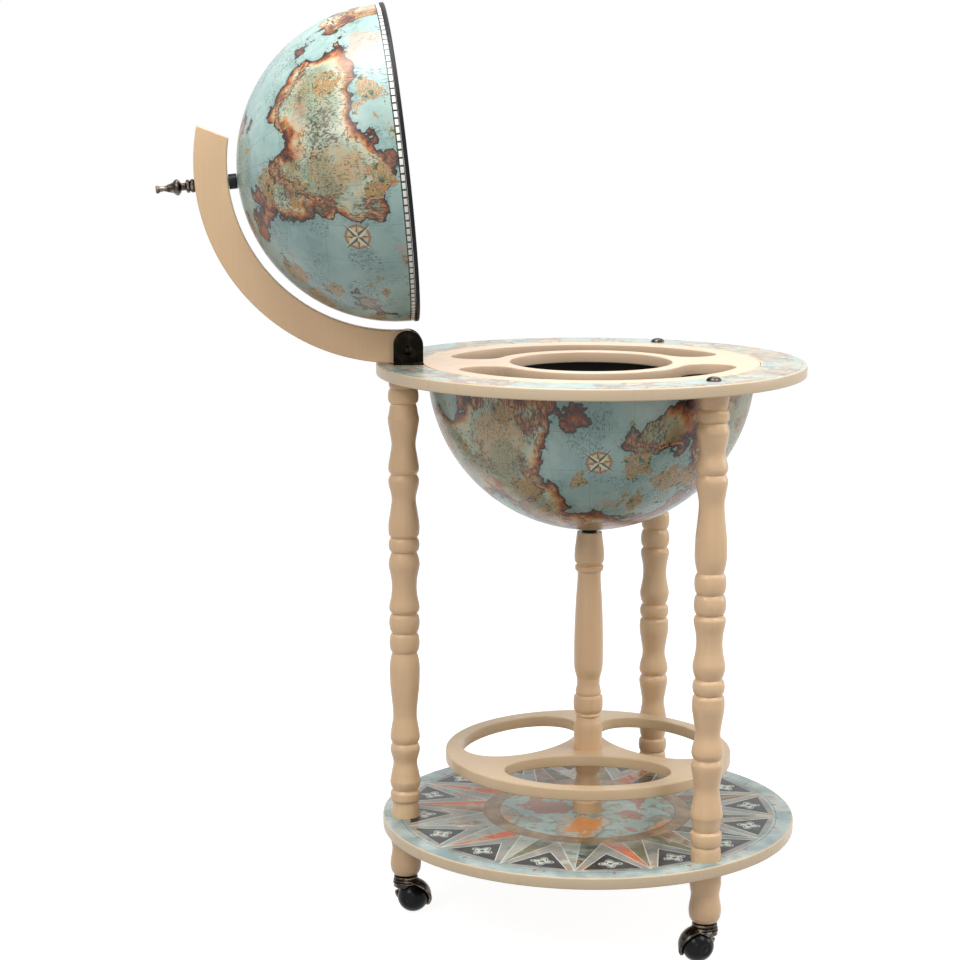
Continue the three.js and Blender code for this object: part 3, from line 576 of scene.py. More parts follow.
rivers = thin_line(mottle(chart_place, 13.0, 5.0, 0.6) - 0.5, 0.005)
soil = layered(
    ramp(height * 8.5 + (hills - 0.5) * 0.75, coast_tones + inland_tones),
    (patch.between(0.56, 0.62) * 0.55, "8B9B7C"),
    (patch.between(0.42, 0.37) * 0.6, "C4703C"),
    (range_line.between(0.034, 0.012) * 0.85, "9C4F2E"),
    (range_line.between(0.014, 0.004) * 0.8, "DDAE80"),
    (hatching.between(0.47, 0.56) * ridge * 0.75, "43210F"),
    (rivers * 0.7, "4E3A2C"),
    (cells(chart_place, 95.0).below(0.1), "702A1C"),
)
dashes = mottle(stretched(chart_place, (700.0, 700.0, 240.0)), 1.0, 1.0).above(0.57)
marked = mottle(chart_place, 24.0, 3.0).between(0.47, 0.54)
figure_shape = cells(chart_place, 16.0) + (mottle(chart_place, 45.0, 4.0, 0.65) - 0.5) * 1.1
dark_inks = [(0.0, "2C3429"), (0.41, "557A5E"), (0.455, "D3B368")]
light_inks = [(0.49, "CC7A3C"), (0.53, "66583A"), (0.56, "DCCB9E"), (0.6, "47604C")]
figure = ramp(mottle(chart_place, 120.0, 5.0, 0.75), dark_inks + light_inks, "CONSTANT")
chart = layered(
    blend(height.above(0.0), sea, soil),
    (thin_line(height, 0.0045), "2B1A12"),
    (dashes * marked * 0.6, "3B4A44"),
    (mottle(chart_place, 17.0, 2.0).between(0.6, 0.66) * 0.45, "D6A48E"),
    (figure_shape.below(0.29) * chart_in["Figures"], figure),
)
stain = mottle(chart_place, 9.0, 3.0).between(0.35, 0.75)
chart = blend(stain * 0.16, chart, "CDB894", "MULTIPLY")
chart_out("Color", blend(stain * 0.2 + 0.85, chart, "ECF0F1", "MULTIPLY"))

# A ring of pointed rays, each with a light and a dark side, as on compass cards.
rays_group, rays_in, rays_out = new_group(
    "rays",
    dict.fromkeys(("X", "Y", "Count", "Root", "Reach", "Width"), "Float"),
    dict.fromkeys(("Ray", "Side", "Edge", "Number", "Along", "Across"), "Float"),
)
ray_x, ray_y, ray_total, ray_root, ray_tip, ray_width = rays_in.values()
ray_angle = ray_y.math("ARCTAN2", ray_x) * ray_total / full_turn + ray_total + 0.5
ray_fold = (ray_angle.math("FRACT") - 0.5) * full_turn / ray_total
ray_along = length(ray_x, ray_y) * ray_fold.math("COSINE")
ray_across = length(ray_x, ray_y) * ray_fold.math("SINE")
ray_room = (ray_tip - ray_along) / (ray_tip - ray_root) * ray_width - abs(ray_across)
rays_out("Ray", ray_room.above(0.0) * ray_along.above(ray_root))
rays_out("Side", ray_across.above(0.0))
rays_out("Edge", ray_room)
rays_out("Number", ray_angle.math("FLOOR"))
rays_out("Along", ray_along)
rays_out("Across", ray_across)

# A small compass card: two rings and sixteen rays, in units of its own radius.
card_group, card_in, card_out = new_group(
    "compass card", {"X": "Float", "Y": "Float"}, {"Color": "Color", "Card": "Float"}
)
card_radius = length(card_in["X"], card_in["Y"])
card = blend(card_radius.band(0.5, 0.62), "C9CDB0", "B9743F")
card_shape = card_radius.below(0.62)
for count, reach, width, light, dark in ((8.0, 0.78, 0.13, "D8A24C", "7A3B28"), (4.0, 1.0, 0.17, "E8D9B4", "41483F")):
    rays = use_group(rays_group, card_in["X"], card_in["Y"], count, 0.0, reach, width)
    card = blend(rays["Ray"], card, blend(rays["Side"], light, dark))
    card_shape = card_shape | rays["Ray"]
card_out("Color", layered(card, (thin_line(card_radius - 0.62, 0.02), "3C2A20")))
card_out("Card", card_shape)


def with_cards(chart, place, centres, radius):
    """Lays a compass card on the chart round each centre, a unit direction with its own turn."""
    for centre, turn in centres:
        normal = Vector(centre).normalized()
        side = normal.orthogonal().normalized()
        side.rotate(Matrix.Rotation(turn, 3, normal))
        x, y, z = [
            draw("VectorMath", {0: place, 1: axis}, "Value", operation="DOT_PRODUCT")
            for axis in (side, normal.cross(side), normal)
        ]
        card = use_group(card_group, x / radius, y / radius)
        chart = blend(card["Card"] * z.above(0.0) * 0.9, chart, card["Color"])
    return chart


def split(place):
    return [Ink(output) for output in make("SeparateXYZ", {0: place}).outputs]


quarter = math.pi / 2
shelf_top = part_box("shelf")[1].z
shelf_radius = 221 * MM
medallion_radius = 95 * MM
gold_ring_radius = 112 * MM
ray_reach = 200 * MM
ray_half_width = 22 * MM
ray_count = 16.0
rosette_radius = 177 * MM
panel_root = 146 * MM
panel_top = 193 * MM
panel_half_width = 30 * MM
drop_radius = 205 * MM
print_depth = 0.2 * MM
shelf_lines = (medallion_radius, gold_ring_radius, ray_reach + 3 * MM)
edge_cream = "D6C0A1"
shelf_print_radius = 219.6 * MM
board_centre = (column_axis.x, column_axis.y, 0)
shelf_turn = (0, 0, -quarter - math.pi / ray_count)
shelf_coat, shelf_place, shelf_shader = new_material(
    "printed shelf", board_centre, shelf_turn, Specular_IOR_Level=0.3
)
shelf_x, shelf_y, shelf_z = split(shelf_place)
from_middle = length(shelf_x, shelf_y)
rays = use_group(rays_group, shelf_x, shelf_y, ray_count, gold_ring_radius, ray_reach, ray_half_width)
chart = use_group(chart_group, shelf_place, 0.47, 1.9, 0.8)["Color"]
ochre = mottle(shelf_place, 12.0, 4.0, 0.6)
medallion = layered(
    chart,
    (0.45, "ADC0BA"),
    (ochre.between(0.525, 0.55) * 0.85, "DD8B40"),
    (ochre.between(0.4, 0.38) * 0.7, "AE5F45"),
)
dice = draw("TexWhiteNoise", {"W": rays["Number"] * 2.0 + rays["Side"]}, noise_dimensions="1D")
facet_tones = [(0.0, "4C5047"), (0.18, "98A19A"), (0.34, "CF6229"), (0.5, "63643C")]
facet_tones += [(0.62, "AEB4A9"), (0.78, "85603F"), (0.9, "B98345")]
facets = ramp(dice, facet_tones, "CONSTANT")
facets = blend(mottle(shelf_place, 34.0, 5.0, 0.65).between(0.42, 0.62) * 0.6, facets, chart)
band_tones = [(0.35, "83989A"), (0.48, "A2B3B0"), (0.6, "BCC7C1"), (0.72, "A0978A")]
between_tones = [(0.35, "6E736E"), (0.5, "8D948D"), (0.62, "A4917E"), (0.7, "B7BDB4")]
outer_band = ramp(mottle(shelf_place, 26.0, 4.0), band_tones)
between_rays = ramp(mottle(shelf_place, 33.0, 4.0), between_tones)
dark_panel = ramp(mottle(shelf_place, 70.0, 4.0, 0.6), [(0.35, "141617"), (0.5, "1F2323"), (0.68, "3C3E38")])
gold = ramp(mottle(shelf_place, 42.0, 5.0, 0.6), [(0.35, "786147"), (0.5, "93795A"), (0.65, "AD9470")])
half_pitch = math.pi / ray_count
turned_x = shelf_x * math.cos(half_pitch) + shelf_y * math.sin(half_pitch)
turned_y = shelf_y * math.cos(half_pitch) - shelf_x * math.sin(half_pitch)
notches = use_group(rays_group, turned_x, turned_y, ray_count, 0.0, ray_reach, ray_half_width)
notch_along = notches["Along"]
petal_x = notch_along - rosette_radius
petal_y = notches["Across"]
panel = (notch_along - panel_root) / (panel_top - panel_root) * panel_half_width - abs(petal_y)
in_panel = panel.above(0.0) * notch_along.below(panel_top)
petal_radius = length(petal_x, petal_y)
petals = (petal_y.math("ARCTAN2", petal_x) * 4.0).math("COSINE") * (2.6 * MM) + 10 * MM
bloom = petals - petal_radius
shelf_print = layered(
    blend(from_middle.below(ray_reach), outer_band, between_rays),
    (in_panel, dark_panel),
    (thin_line(panel, 0.6 * MM) * notch_along.band(panel_root, panel_top), "D3D6CE"),
    (bloom.above(0.0) * in_panel, "C3C6BC"),
    (bloom.band(1.3 * MM, 3.2 * MM) * in_panel, "4A5348"),
    (petal_radius.below(2.4 * MM) * in_panel, "3A3F3A"),
    ((abs(notch_along - drop_radius) * 0.5 + abs(petal_y)).below(2.2 * MM), "B9653F"),
    (rays["Ray"], facets),
    (thin_line(rays["Edge"], 0.7 * MM) * from_middle.below(ray_reach) * 0.8, "D2D4CB"),
    (thin_line(rays["Across"], 0.4 * MM) * rays["Ray"], "C9CCC4"),
    (from_middle.below(gold_ring_radius), gold),
    (from_middle.below(medallion_radius), medallion),
    *[(thin_line(from_middle - radius, 0.5 * MM) * 0.7, "4C4A42") for radius in shelf_lines],
)
shelf_face = from_middle.below(shelf_print_radius) * shelf_z.above(shelf_top - print_depth)
lacquer(shelf_shader, shelf_place, blend(shelf_face, edge_cream, shelf_print), 0.3, 0.05, 0.2)


def edge_outline(inner, outer, bottom, top, fillet):
    """The outline of a round board or ring with rounded edges. An inner radius of 0 makes a full disc."""
    steps = 5
    inset = 3 * fillet
    inside = inner + inset if inner else 0.0
    points = []
    if inner:
        points += arc((inner + fillet, bottom + fillet), fillet, 2 * quarter, 3 * quarter, steps)
    points += [(inside, bottom), (outer - inset, bottom)]
    points += arc((outer - fillet, bottom + fillet), fillet, -quarter, 0, steps)
    points += arc((outer - fillet, top - fillet), fillet, 0, quarter, steps)
    points += [(outer - inset, top), (inside, top)]
    if inner:
        points += arc((inner + fillet, top - fillet), fillet, quarter, 2 * quarter, steps)
    return points


def turned_board(name, node, inner, outer, material):
    """A printed round board or ring about the column's axis."""
    low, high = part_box(node)
    outline = edge_outline(inner, outer, 0.0, high.z - low.z, board_fillet)
    foot = (column_axis.x, column_axis.y, low.z)
    piece(name, turned(outline, foot, (0, 0, 1), material, 240, inner > 0), "stand", [node])


turned_board("printed_shelf_board", "shelf", 0.0, shelf_radius, shelf_coat)

# Table ring
# A 12 mm board with a round hole, printed on top and edged in cream, under the same lacquer as the shelf.
table_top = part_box("table_ring")[1].z
table_radius = 225 * MM
table_hole_radius = 177 * MM
table_print_inner = 178.5 * MM
table_print_outer = 223.6 * MM
table_lines = (table_print_inner + 5 * MM, table_print_outer - 4 * MM)
table_coat, table_place, table_shader = new_material("printed table", board_centre, Specular_IOR_Level=0.35)
table_x, table_y, table_z = split(table_place)
from_hole = length(table_x, table_y)
# The wash is painted glare: it pales and flattens the print, as light falling brightly on the top would.
table_glare_wash = ramp(mottle(table_place, 16.0, 3.0), [(0.38, "A9C1BC"), (0.5, "C6C2B6"), (0.62, "BFAFA6")])
table_card = use_group(rays_group, table_x, table_y, 36.0, table_print_inner, table_print_outer, 7 * MM)
table_print = layered(
    use_group(chart_group, table_place, 0.52, 2.2, 0.6)["Color"],
    (0.38, table_glare_wash),
    (thin_line(table_card["Edge"], 0.35 * MM) * 0.4, "8C97A0"),
    *[(thin_line(from_hole - radius, 0.4 * MM) * 0.6, "6F7C80") for radius in table_lines],
)
table_face = from_hole.band(table_print_inner, table_print_outer) * table_z.above(table_top - print_depth)
lacquer(table_shader, table_place, blend(table_face, edge_cream, table_print), 0.3, 0.04, 0.2)
turned_board("printed_table_ring", "table_ring", table_hole_radius, table_radius, table_coat)

# Tray
# A loose board that fills the table's hole, with a round well and two kidney slots; its paler cream is painted light.
lit_tray_cream = sprayed("cream tray with painted light", (24.0, 4.0), ("DABDA0", "DFC3A5"), 0.33, 0.05, 0.2, IOR=1.48)
tray_radius = 176.5 * MM
well_radius = 85 * MM
slot_inner = 100 * MM
slot_outer = 156 * MM
slot_end = math.radians(13.5)


def slot_outline(turn):
    """One kidney slot of the tray, between its two round ends."""
    mid_radius = (slot_inner + slot_outer) / 2
    end_radius = (slot_outer - slot_inner) / 2
    end_angle = math.asin(end_radius / mid_radius)
    start = turn + slot_end + end_angle
    stop = turn + math.pi - slot_end - end_angle
    ends = [(mid_radius * math.cos(angle), mid_radius * math.sin(angle)) for angle in (start, stop)]
    points = arc((0, 0), slot_outer, start, stop, 60)
    points += arc(ends[1], end_radius, stop, stop + math.pi, 24)[1:]
    points += arc((0, 0), slot_inner, stop, start, 60)[1:]
    points += arc(ends[0], end_radius, start - math.pi, start, 24)[1:-1]
    return points


tray_outlines = [circle(tray_radius, 240), circle(well_radius, 160), slot_outline(0), slot_outline(math.pi)]
# The tray's paler cream is painted light from above and the sheen it reflects.
board("tray_board", "tray_insert", tray_outlines, lit_tray_cream)

# Lower half of the globe
# A moulded shell with a printed and lacquered outside and a black inside, on a flat flange under the table.
bowl_radius = 171.3 * MM
shell_wall = 3 * MM
shell_sides = 160
shell_steps = 64
bowl_centre = Vector((column_axis.x, column_axis.y, table_top - 6 * MM))
graticule_step = math.radians(15)
card_size = 21 * MM
rim_squares = 132.0


def globe_material(name, centre, turn, shore, cards, rim_band):
    """The printed outside of a half globe, about its own pole. The rim band is a printed chain of squares."""
    material, place, shader = new_material(name, centre, turn, IOR=1.5)
    x, y, z = split(place)
    ring = length(x, y)
    longitude = y.math("ARCTAN2", x)
    angles = (longitude, z.math("ARCTAN2", ring))
    meridian, parallel = [abs(abs((angle / graticule_step).math("FRACT") - 0.5) - 0.5) for angle in angles]
    meridian_half = (ring / (0.3 * MM / graticule_step)).math("POWER", -1.0)
    graticule = meridian.below(meridian_half) | parallel.below(0.0065)
    colour = with_cards(use_group(chart_group, place, shore, 1.0, 0.9)["Color"], place, cards, card_size)
    colour = layered(colour, (graticule * 0.4, "4E5F5F"))
    if rim_band:
        around = (longitude * (rim_squares / full_turn) + rim_squares).math("FRACT")
        squares = around.below(0.77) * z.band(-0.9 * MM, 2.6 * MM)
        colour = layered(colour, (z.below(3.8 * MM), "131313"), (squares, "EDEBE2"))
    lacquer(shader, place, colour, 0.3, 0.14, 0.25)
    return material


black = sprayed("black lacquer", (30.0, 3.0), ("0A0A0B", "121213"), 0.42, 0.1, 0.4, Specular_IOR_Level=0.2)


def half_globe(name, node, body, outline, centre, along, radius, material):
    """One half of the globe: a turned shell, printed outside and black inside."""
    mesh = turned(outline, centre, along, material, shell_sides, True)
    mesh.materials.append(black)
    for face in mesh.polygons:
        if (face.center - centre).length < radius - shell_wall / 2:
            face.material_index = 1
    piece(name, mesh, body, [node])


def dome(radius, start, end, steps=shell_steps):
    """Radius and height pairs of a half globe's wall, between two angles from its pole."""
    return [(radius * math.sin(a), radius * math.cos(a)) for a in np.linspace(start, end, steps + 1)]


def hung(pairs):
    """The same pairs with the pole pointing down."""
    return [(radius, -height) for radius, height in pairs]


bowl_cards = [((-0.35, -0.72, 0.6), 0.3), ((0.55, -0.75, 0.35), 1.0), ((-0.2, 0.8, 0.5), 0.6), ((0.8, 0.4, 0.45), 0.2)]
bowl_turn = (math.pi, 0, 5.1)
bowl_coat = globe_material("printed lower globe", bowl_centre, bowl_turn, 0.525, bowl_cards, False)
flange_radius = 180 * MM
flange_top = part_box("tray_insert")[0].z
flange_bottom = flange_top - 2.5 * MM
bore_radius = 3.35 * MM
inner_radius = bowl_radius - shell_wall
outer_rim = math.acos((bowl_centre.z - flange_bottom) / bowl_radius)
inner_rim = math.acos((bowl_centre.z - flange_top) / inner_radius)
bowl_outline = hung(dome(bowl_radius, math.asin(bore_radius / bowl_radius), outer_rim))
bowl_outline += [(flange_radius, flange_bottom - bowl_centre.z), (flange_radius, flange_top - bowl_centre.z)]
bowl_outline += hung(dome(inner_radius, inner_rim, math.asin(bore_radius / inner_radius)))
half_globe("globe_lower_half", "bowl", "stand", bowl_outline, bowl_centre, (0, 0, 1), bowl_radius, bowl_coat)

# Metal fixings
# Bronze-plated caps, pin, brackets and finial, with zinc-plated studs and washers where they hardly show.
metal_group, metal_in, metal_out = new_group(
    "rubbed plating",
    {"Place": "Vector", "Dark": "Color", "Light": "Color", "Rub": "Float", "Dullness": "Float"},
    {"Color": "Color", "Roughness": "Float", "Scratches": "Float"},
)
patches = mottle(metal_in["Place"], 120.0, 5.0, 0.65)
metal_out("Color", blend(patches.between(0.45, 0.7) * metal_in["Rub"], metal_in["Dark"], metal_in["Light"]))
metal_out("Roughness", (patches * 0.3 + 0.18) * metal_in["Dullness"])
metal_out("Scratches", mottle(metal_in["Place"], 900.0, 2.0))


def plated(name, dark, light, rub, dullness=1.0):
    """A plated metal with scattered patches rubbed lighter."""
    material, place, shader = new_material(name, Metallic=1.0)
    plating = use_group(metal_group, place, dark, light, rub, dullness)
    surface(shader, plating["Color"], plating["Roughness"], plating["Scratches"], 0.3, 0.03 * MM)
    return material


bronze = plated("aged bronze", "3A332D", "978B7F", 0.85, 0.85)
gunmetal = plated("dark bracket bronze", "161410", "322D25", 0.5, 0.6)
zinc = plated("zinc plate", "8E9194", "C4C6C8", 0.7)

for node in ("column_stud", "column_screw", "bowl_washer", "leg_stud_1", "leg_stud_2", "leg_stud_3"):
    coat(frame["nodes"][node].data, zinc)


def mm(*pairs):
    """Pairs of millimetres in metres."""
    return [(a * MM, b * MM) for a, b in pairs]


def crown(radius, foot, height, end, steps):
    """Radius and height pairs of a flattened dome that stands on foot."""
    return [(radius * math.cos(a), foot + height * math.sin(a)) for a in np.linspace(0, end, steps + 1)]


cap_radius = 7.5 * MM
cap_height = 4.5 * MM
cap_rim = 0.8 * MM
cap_outline = [*mm((0, -2), (3, -2), (3, 0), (7.2, 0)), (cap_radius, 0.3 * MM)]
cap_outline += [*crown(cap_radius, cap_rim, cap_height - cap_rim, 1.45, 8), (0, cap_height)]
cap_seats = {"table_bolt_2": table_top, "table_bolt_3": table_top, "bowl_bolt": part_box("bowl_washer")[1].z}
for node, seat in cap_seats.items():
    axis = middle(node)
    mesh = turned(cap_outline, (axis.x, axis.y, seat), material=bronze, sides=40)
    piece(f"cap_of_{node}", mesh, "stand", [node])
coat(frame["nodes"]["table_bolt_1"].data, bronze)


def black_ring(name, node, body, size, foot, along, sides):
    """A black plastic ring. Its size is its inner and outer radius, its two ends and its fillet."""
    piece(name, turned(edge_outline(*size), foot, along, black, sides, True), body, [node])


bush_low, bush_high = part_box("column_bush")
bush_size = (bore_radius, 8 * MM, 0.0, bush_high.z - bush_low.z, 0.6 * MM)
black_ring("black_column_bush", "column_bush", "stand", bush_size, foot_of("column_bush"), (0, 0, 1), 48)

# Hinge
# Two round-topped bronze brackets screwed to the table, with one pin through them and the arm's foot.
joints = {joint["name"]: joint for joint in frame["joints"]}
pin_place = Vector(joints["lid_hinge"]["pos_m"])
bracket_half = 31 * MM / 2
bracket_shoulder = 35 * MM - bracket_half
bracket_plate = 2.5 * MM
foot_half = 11.5 * MM / 2
plate_fillet = 0.6 * MM
bracket_outline = [(-bracket_half, 0), (bracket_half, 0)]
bracket_outline += arc((0, bracket_shoulder), bracket_half, 0, math.pi, 40)[:-1]
bracket_outline.append((-bracket_half, bracket_shoulder))
foot_outline = [(x * bracket_half, y * foot_half) for x, y in corners]
for node in ("hinge_bracket_front", "hinge_bracket_back"):
    low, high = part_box(node)
    plate_y = high.y if node == "hinge_bracket_front" else low.y + bracket_plate
    upright = Matrix.Translation((pin_place.x, plate_y, table_top)) @ Matrix.Rotation(quarter, 4, "X")
    mesh = plate([bracket_outline], bracket_plate, plate_fillet, upright)
    piece(f"{node}_plate", mesh, "stand", [node], gunmetal)
    flat = Matrix.Translation((pin_place.x, (low.y + high.y) / 2, table_top))
    mesh = plate([foot_outline], bracket_plate, plate_fillet, flat)
    piece(f"{node}_foot", mesh, "stand", (), gunmetal)

pin_low, pin_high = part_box("hinge_pin")
pin_radius = 4 * MM
pin_head_radius = 4.8 * MM
pin_head_height = 2.6 * MM
pin_end = pin_low.y - pin_high.y + pin_head_height
head_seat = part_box("hinge_bracket_front")[1].y - bracket_plate
pin_outline = [(0, pin_end), (pin_radius, pin_end), (pin_radius, 0)]
pin_outline += [*crown(pin_head_radius, 0, pin_head_height, 1.5, 9), (0, pin_head_height)]
mesh = turned(pin_outline, (pin_place.x, head_seat, pin_place.z), (0, -1, 0), gunmetal, 40)
piece("domed_hinge_pin", mesh, "stand", ["hinge_pin"])
coat(frame["nodes"]["hinge_nut"].data, gunmetal)

# Arm
# A bow sawn from beech board, its edges eased, pinned at the hinge and bored for the globe's pole pin.
lid_centre = Vector(joints["lid_spin"]["pos_m"])
pole_axis = Vector(joints["lid_spin"]["axis"])
arm_inner = 171 * MM
arm_outer = 205 * MM
arm_thickness = 14 * MM
arm_fillet = 1.2 * MM
tip_inner_angle = math.radians(14.8)
tip_outer_angle = math.radians(17.1)
open_angle = math.radians(joints["lid_hinge"]["range_deg"][1])
swing_back = Matrix.Rotation(-open_angle, 4, "Y")
pin_from_centre = swing_back.inverted() @ (pin_place - lid_centre)
pin_angle = math.atan2(pin_from_centre.z, pin_from_centre.x) % full_turn
foot_x, foot_z = pin_from_centre.x, pin_from_centre.z
foot_round = arm_outer - pin_from_centre.length
inner_foot = math.pi - math.asin(foot_z / arm_inner)
inner_stretch = (arm_inner * math.cos(inner_foot) - foot_x) / foot_round
arm_outline = arc((0, 0), arm_outer, quarter - tip_outer_angle, pin_angle, 120)
arm_outline += arc((foot_x, foot_z), foot_round, pin_angle, 3 * quarter, 24)[1:]
for x, z in arc((0, 0), foot_round, 3 * quarter, 4 * quarter, 24)[1:]:
    arm_outline.append((foot_x + x * inner_stretch, foot_z + z))
arm_outline += arc((0, 0), arm_inner, inner_foot, quarter - tip_inner_angle, 120)[1:]
arm_place = Matrix.Translation(lid_centre) @ swing_back @ Matrix.Rotation(quarter, 4, "X")
arm_place = arm_place @ Matrix.Translation((0, 0, -arm_thickness / 2))
mesh = plate([arm_outline], arm_thickness, arm_fillet, arm_place)
piece("bow_arm", mesh, "arm_assembly", ["arm"], cream)

# Pole fittings
# A steel pin from the nut inside the lid, through a black bush and the arm, into a turned bronze finial.
fit_gap = 0.3 * MM
pole_bore = 3.85 * MM
lid_radius = 161.5 * MM
finial_foot = lid_centre + pole_axis * (arm_outer + fit_gap)
finial_outline = carved(node_outline("finial", finial_foot, pole_axis))
mesh = turned(finial_outline, finial_foot, pole_axis, bronze, 56)
piece("turned_finial", mesh, "arm_assembly", ["finial"])
pole_bush_size = (pole_bore, 7.8 * MM, 0.0, arm_inner - lid_radius - 3 * fit_gap, 0.8 * MM)
pole_bush_foot = lid_centre + pole_axis * (lid_radius + fit_gap)
black_ring("black_pole_bush", "pole_bush", "arm_assembly", pole_bush_size, pole_bush_foot, pole_axis, 56)
for node in ("pole_pin", "pole_washer", "pole_nut"):
    coat(frame["nodes"][node].data, zinc)

# Upper half of the globe
# The lid is the same moulded shell, black inside, with a printed chain of squares and a black rim trim.
lid_inner = lid_radius - shell_wall
lid_rim = -1.7 * MM
lid_turn = (swing_back @ Matrix.Rotation(3.6, 4, "Z")).to_euler()
lid_cards = [((0.1, -0.9, 0.25), 0.4), ((-0.6, -0.5, 0.7), 0.9), ((0.7, 0.6, 0.3), 0.2), ((-0.7, 0.6, 0.3), 0.7)]
lid_coat = globe_material("printed upper globe", lid_centre, lid_turn, 0.553, lid_cards, True)
lid_outline = [(lid_inner, lid_rim), (lid_radius, lid_rim)]
lid_outline += dome(lid_radius, quarter, math.asin(pole_bore / lid_radius))
lid_outline += dome(lid_inner, math.asin(pole_bore / lid_inner), quarter)
half_globe("globe_upper_half", "lid", "upper_globe", lid_outline, lid_centre, pole_axis, lid_radius, lid_coat)
trim_size = (lid_inner, lid_radius + 1.2 * MM, -6 * MM, -2 * MM, 0.7 * MM)
black_ring("lid_black_trim", "lid_rim_trim", "upper_globe", trim_size, lid_centre, pole_axis, shell_sides)

# Screws
# Small cross-head screws: four through the hinge brackets, and six that hold the bowl's flange.
head_radius = 3.1 * MM
head_height = 1.8 * MM
head_size = (head_radius, head_radius, head_height)
recess_size = (head_radius, 0.7 * MM, head_height)
block = 10 * MM
screw_tree, screw_in, screw_out = new_group(
    "cross-head screws",
    {"Places": "Geometry", "Size": "Vector", "Recess": "Vector", "Turn": "Vector", "Finish": "Material"},
    {"Screws": "Geometry"},
    "GeometryNodeTree",
)


def shape(kind, **sockets):
    """One step of the screws' tree."""
    return draw(kind, sockets, tree=screw_tree)


ball = shape("MeshUVSphere", Segments=24, Rings=12, Radius=1.0)
head = shape("Transform", Geometry=ball, Scale=screw_in["Size"])
below = shape("MeshCube", Size=(block, block, block))
below = shape("Transform", Geometry=below, Translation=(0, 0, -block / 2))
bar = shape("MeshCube", Size=screw_in["Recess"])
bar = shape("Transform", Geometry=bar, Translation=(0, 0, head_height))
cross_bar = shape("Transform", Geometry=bar, Rotation=(0, 0, quarter))
cut = make("MeshBoolean", {"Mesh 1": head}, operation="DIFFERENCE")
for cutter in (below, bar, cross_bar):
    feed(cut.inputs["Mesh 2"], cutter)
heads = {"Points": screw_in["Places"], "Instance": Ink(cut.outputs["Mesh"]), "Rotation": screw_in["Turn"]}
real = shape("RealizeInstances", Geometry=shape("InstanceOnPoints", **heads))
screw_out("Screws", shape("SetMaterial", Geometry=real, Material=screw_in["Finish"]))


def screws(name, nodes, material, facing_down):
    """Screw heads at the nodes' seats, as one mesh."""
    seats = []
    for node in nodes:
        low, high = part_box(node)
        centre = middle(node)
        seats.append((centre.x, centre.y, low.z + head_height if facing_down else high.z - head_height))
    places = bpy.data.meshes.new("screw places")
    places.from_pydata(seats, [], [])
    turn = (math.pi if facing_down else 0.0, 0.0, 0.3)
    values = {"Size": head_size, "Recess": recess_size, "Turn": turn, "Finish": material}
    piece(name, settle(shaped(name, places, screw_tree, values)), "stand", nodes)


screws("bracket_screws", [f"bracket_screw_{n}" for n in (1, 2, 3, 4)], gunmetal, False)
screws("flange_screws", [f"bowl_screw_{n}" for n in range(1, 7)], zinc, True)

# Casters
# Ball casters: a black nylon wheel on a steel axle under a pressed bronze hood, with a ringed collar round a
# black stem.
wheel_radius = joints["wheel_spin_1"]["pos_m"][2]
hood_inner = 18 * MM
hood_outer = 20 * MM
hood_floor_gap = 5.5 * MM
hood_tilt = math.radians(32)
collar_radius = 14 * MM
collar_clear = 14.3 * MM
collar_bore = 4.35 * MM
collar_length = 13 * MM
clear_foot = 21 * MM
clear_top = 45 * MM
stem_radius = 4 * MM
stem_flange_radius = 9 * MM
stem_flange_top = 42 * MM
stem_flange_bottom = stem_flange_top - 1.3 * MM
nylon = sprayed("black nylon", (60.0, 3.0), ("090A0B", "111214"), 0.22, 0.2, 0.5, Specular_IOR_Level=0.16)
wheel_outline = [*mm((2.35, -3), (15.3, -3), (16.1, -2.6)), (wheel_radius - 0.05 * MM, -1.4 * MM)]
wheel_outline += [(wheel_radius, -0.5 * MM), (wheel_radius, 0.5 * MM), *arc((0, 0), wheel_radius, 0.1, 1.14, 21)]
wheel_outline += mm((5.4, 15.4), (4.6, 15.1), (2.6, 15.1), (2.1, 15.6), (0, 15.8), (0, 12), (2.35, 12))
hood_outline = dome(hood_outer, 0, 1.42, 23) + mm((20.5, 2.6), (20.7, 1.6), (20.5, 0.5), (20.0, 0.05))
hood_outline += dome(hood_inner, 1.57, 0, 23)
axle_cap_outline = mm((0, 0), (3.2, 0), (3.2, 0.6), (2.4, 1.3), (0, 1.5))


def ring_bead(radius, height, bulge, steps=5):
    """One rounded ring of a collar, as outline pairs that swell out by bulge."""
    angles = np.linspace(-1.3, 1.3, steps)
    return [(radius + bulge * (math.cos(a) - 1), height + bulge * math.sin(a)) for a in angles]


def hollowed(mesh, cutter):
    """A mesh with the cutter's shape taken out of it."""
    maker = placed("hollow work", mesh)
    tool = placed("cutter", cutter)
    modifier = maker.modifiers.new("hollow", "BOOLEAN")
    modifier.operation = "DIFFERENCE"
    modifier.solver = "EXACT"
    modifier.object = tool
    made = as_mesh(maker, "hollow")
    bpy.data.objects.remove(tool)
    return settle(made, smooth_angle=50.0)


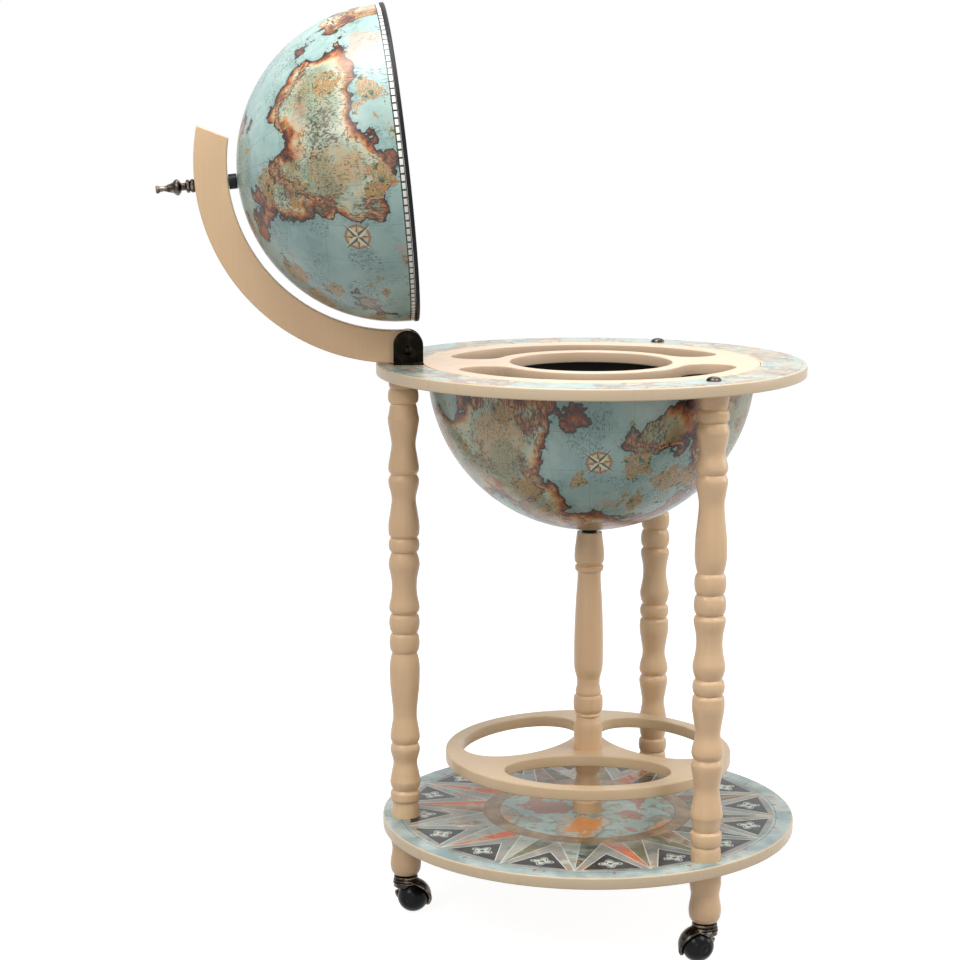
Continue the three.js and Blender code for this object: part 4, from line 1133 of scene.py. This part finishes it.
for number in (1, 2, 3):
    stem = middle(f"caster_stem_{number}")
    stem_foot = (stem.x, stem.y, 0)
    swivel = f"swivel_{number}"
    hub = Vector(joints[f"wheel_spin_{number}"]["pos_m"])
    axle = Vector(joints[f"wheel_spin_{number}"]["axis"])
    mesh = turned(wheel_outline, hub, axle, nylon, 64, True, 50.0)
    piece(f"ball_wheel_{number}", mesh, f"wheel_{number}", [f"caster_wheel_{number}"])

    # The hood is a half ball with a lip, tilted over the wheel, cut level above the floor and open for the collar.
    hood_pole = Vector((0, 0, math.sin(hood_tilt))) - axle * math.cos(hood_tilt)
    mesh = turned(hood_outline, hub, hood_pole, bronze, 72)
    work = bmesh.new()
    work.from_mesh(mesh)
    everything = work.verts[:] + work.edges[:] + work.faces[:]
    cut_low = bmesh.ops.bisect_plane(
        work, geom=everything, plane_co=(0, 0, hood_floor_gap), plane_no=(0, 0, -1), clear_outer=True
    )
    rim_edges = [item for item in cut_low["geom_cut"] if isinstance(item, bmesh.types.BMEdge)]
    bmesh.ops.contextual_create(work, geom=rim_edges)
    work.to_mesh(mesh)
    work.free()
    clearance = [(0, clear_foot), (collar_clear, clear_foot), (collar_clear, clear_top), (0, clear_top)]
    mesh = hollowed(settle(mesh), turned(clearance, stem_foot, material=bronze))
    piece(f"caster_hood_shell_{number}", mesh, swivel, [f"caster_hood_{number}"])

    # The collar has three rounded rings, a bore for the stem and a hollow round the wheel.
    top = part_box(f"caster_hood_{number}")[1].z
    beads = [(collar_bore, top - collar_length), (12.6 * MM, top - collar_length), (13.4 * MM, top - 12.4 * MM)]
    beads += [(13.1 * MM, top - 10 * MM), *ring_bead(collar_radius, top - 8.4 * MM, 1.2 * MM)]
    beads += [(12.4 * MM, top - 6.9 * MM), *ring_bead(13.6 * MM, top - 5.5 * MM, 1.1 * MM)]
    beads += [(12 * MM, top - 4.1 * MM), *ring_bead(13 * MM, top - 2.1 * MM, 1.7 * MM)]
    beads += [(10.5 * MM, top), (collar_bore, top)]
    mesh = turned(beads, stem_foot, material=bronze, closed=True, smooth_angle=50.0)
    wheel_room = turned(hung(dome(hood_inner, 0, math.pi, 39)), hub, material=bronze)
    piece(f"caster_collar_{number}", hollowed(mesh, wheel_room), swivel)

    mesh = turned(axle_cap_outline, hub - axle * (hood_outer - 0.3 * MM), -axle, black, 32)
    piece(f"caster_axle_cap_{number}", mesh, swivel)

    stem_low, stem_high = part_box(f"caster_stem_{number}")
    stem_outline = [(0, stem_low.z), (stem_radius, stem_low.z), (stem_radius, stem_flange_bottom)]
    stem_outline += [(stem_flange_radius, stem_flange_bottom), (stem_flange_radius, stem_flange_top)]
    stem_outline.append((stem_radius, stem_flange_top))
    stem_outline += [(stem_radius, stem_high.z), (0, stem_high.z)]
    mesh = turned(stem_outline, stem_foot, material=black)
    piece(f"black_caster_stem_{number}", mesh, "stand", [f"caster_stem_{number}"])
    coat(frame["nodes"][f"caster_axle_{number}"].data, zinc)
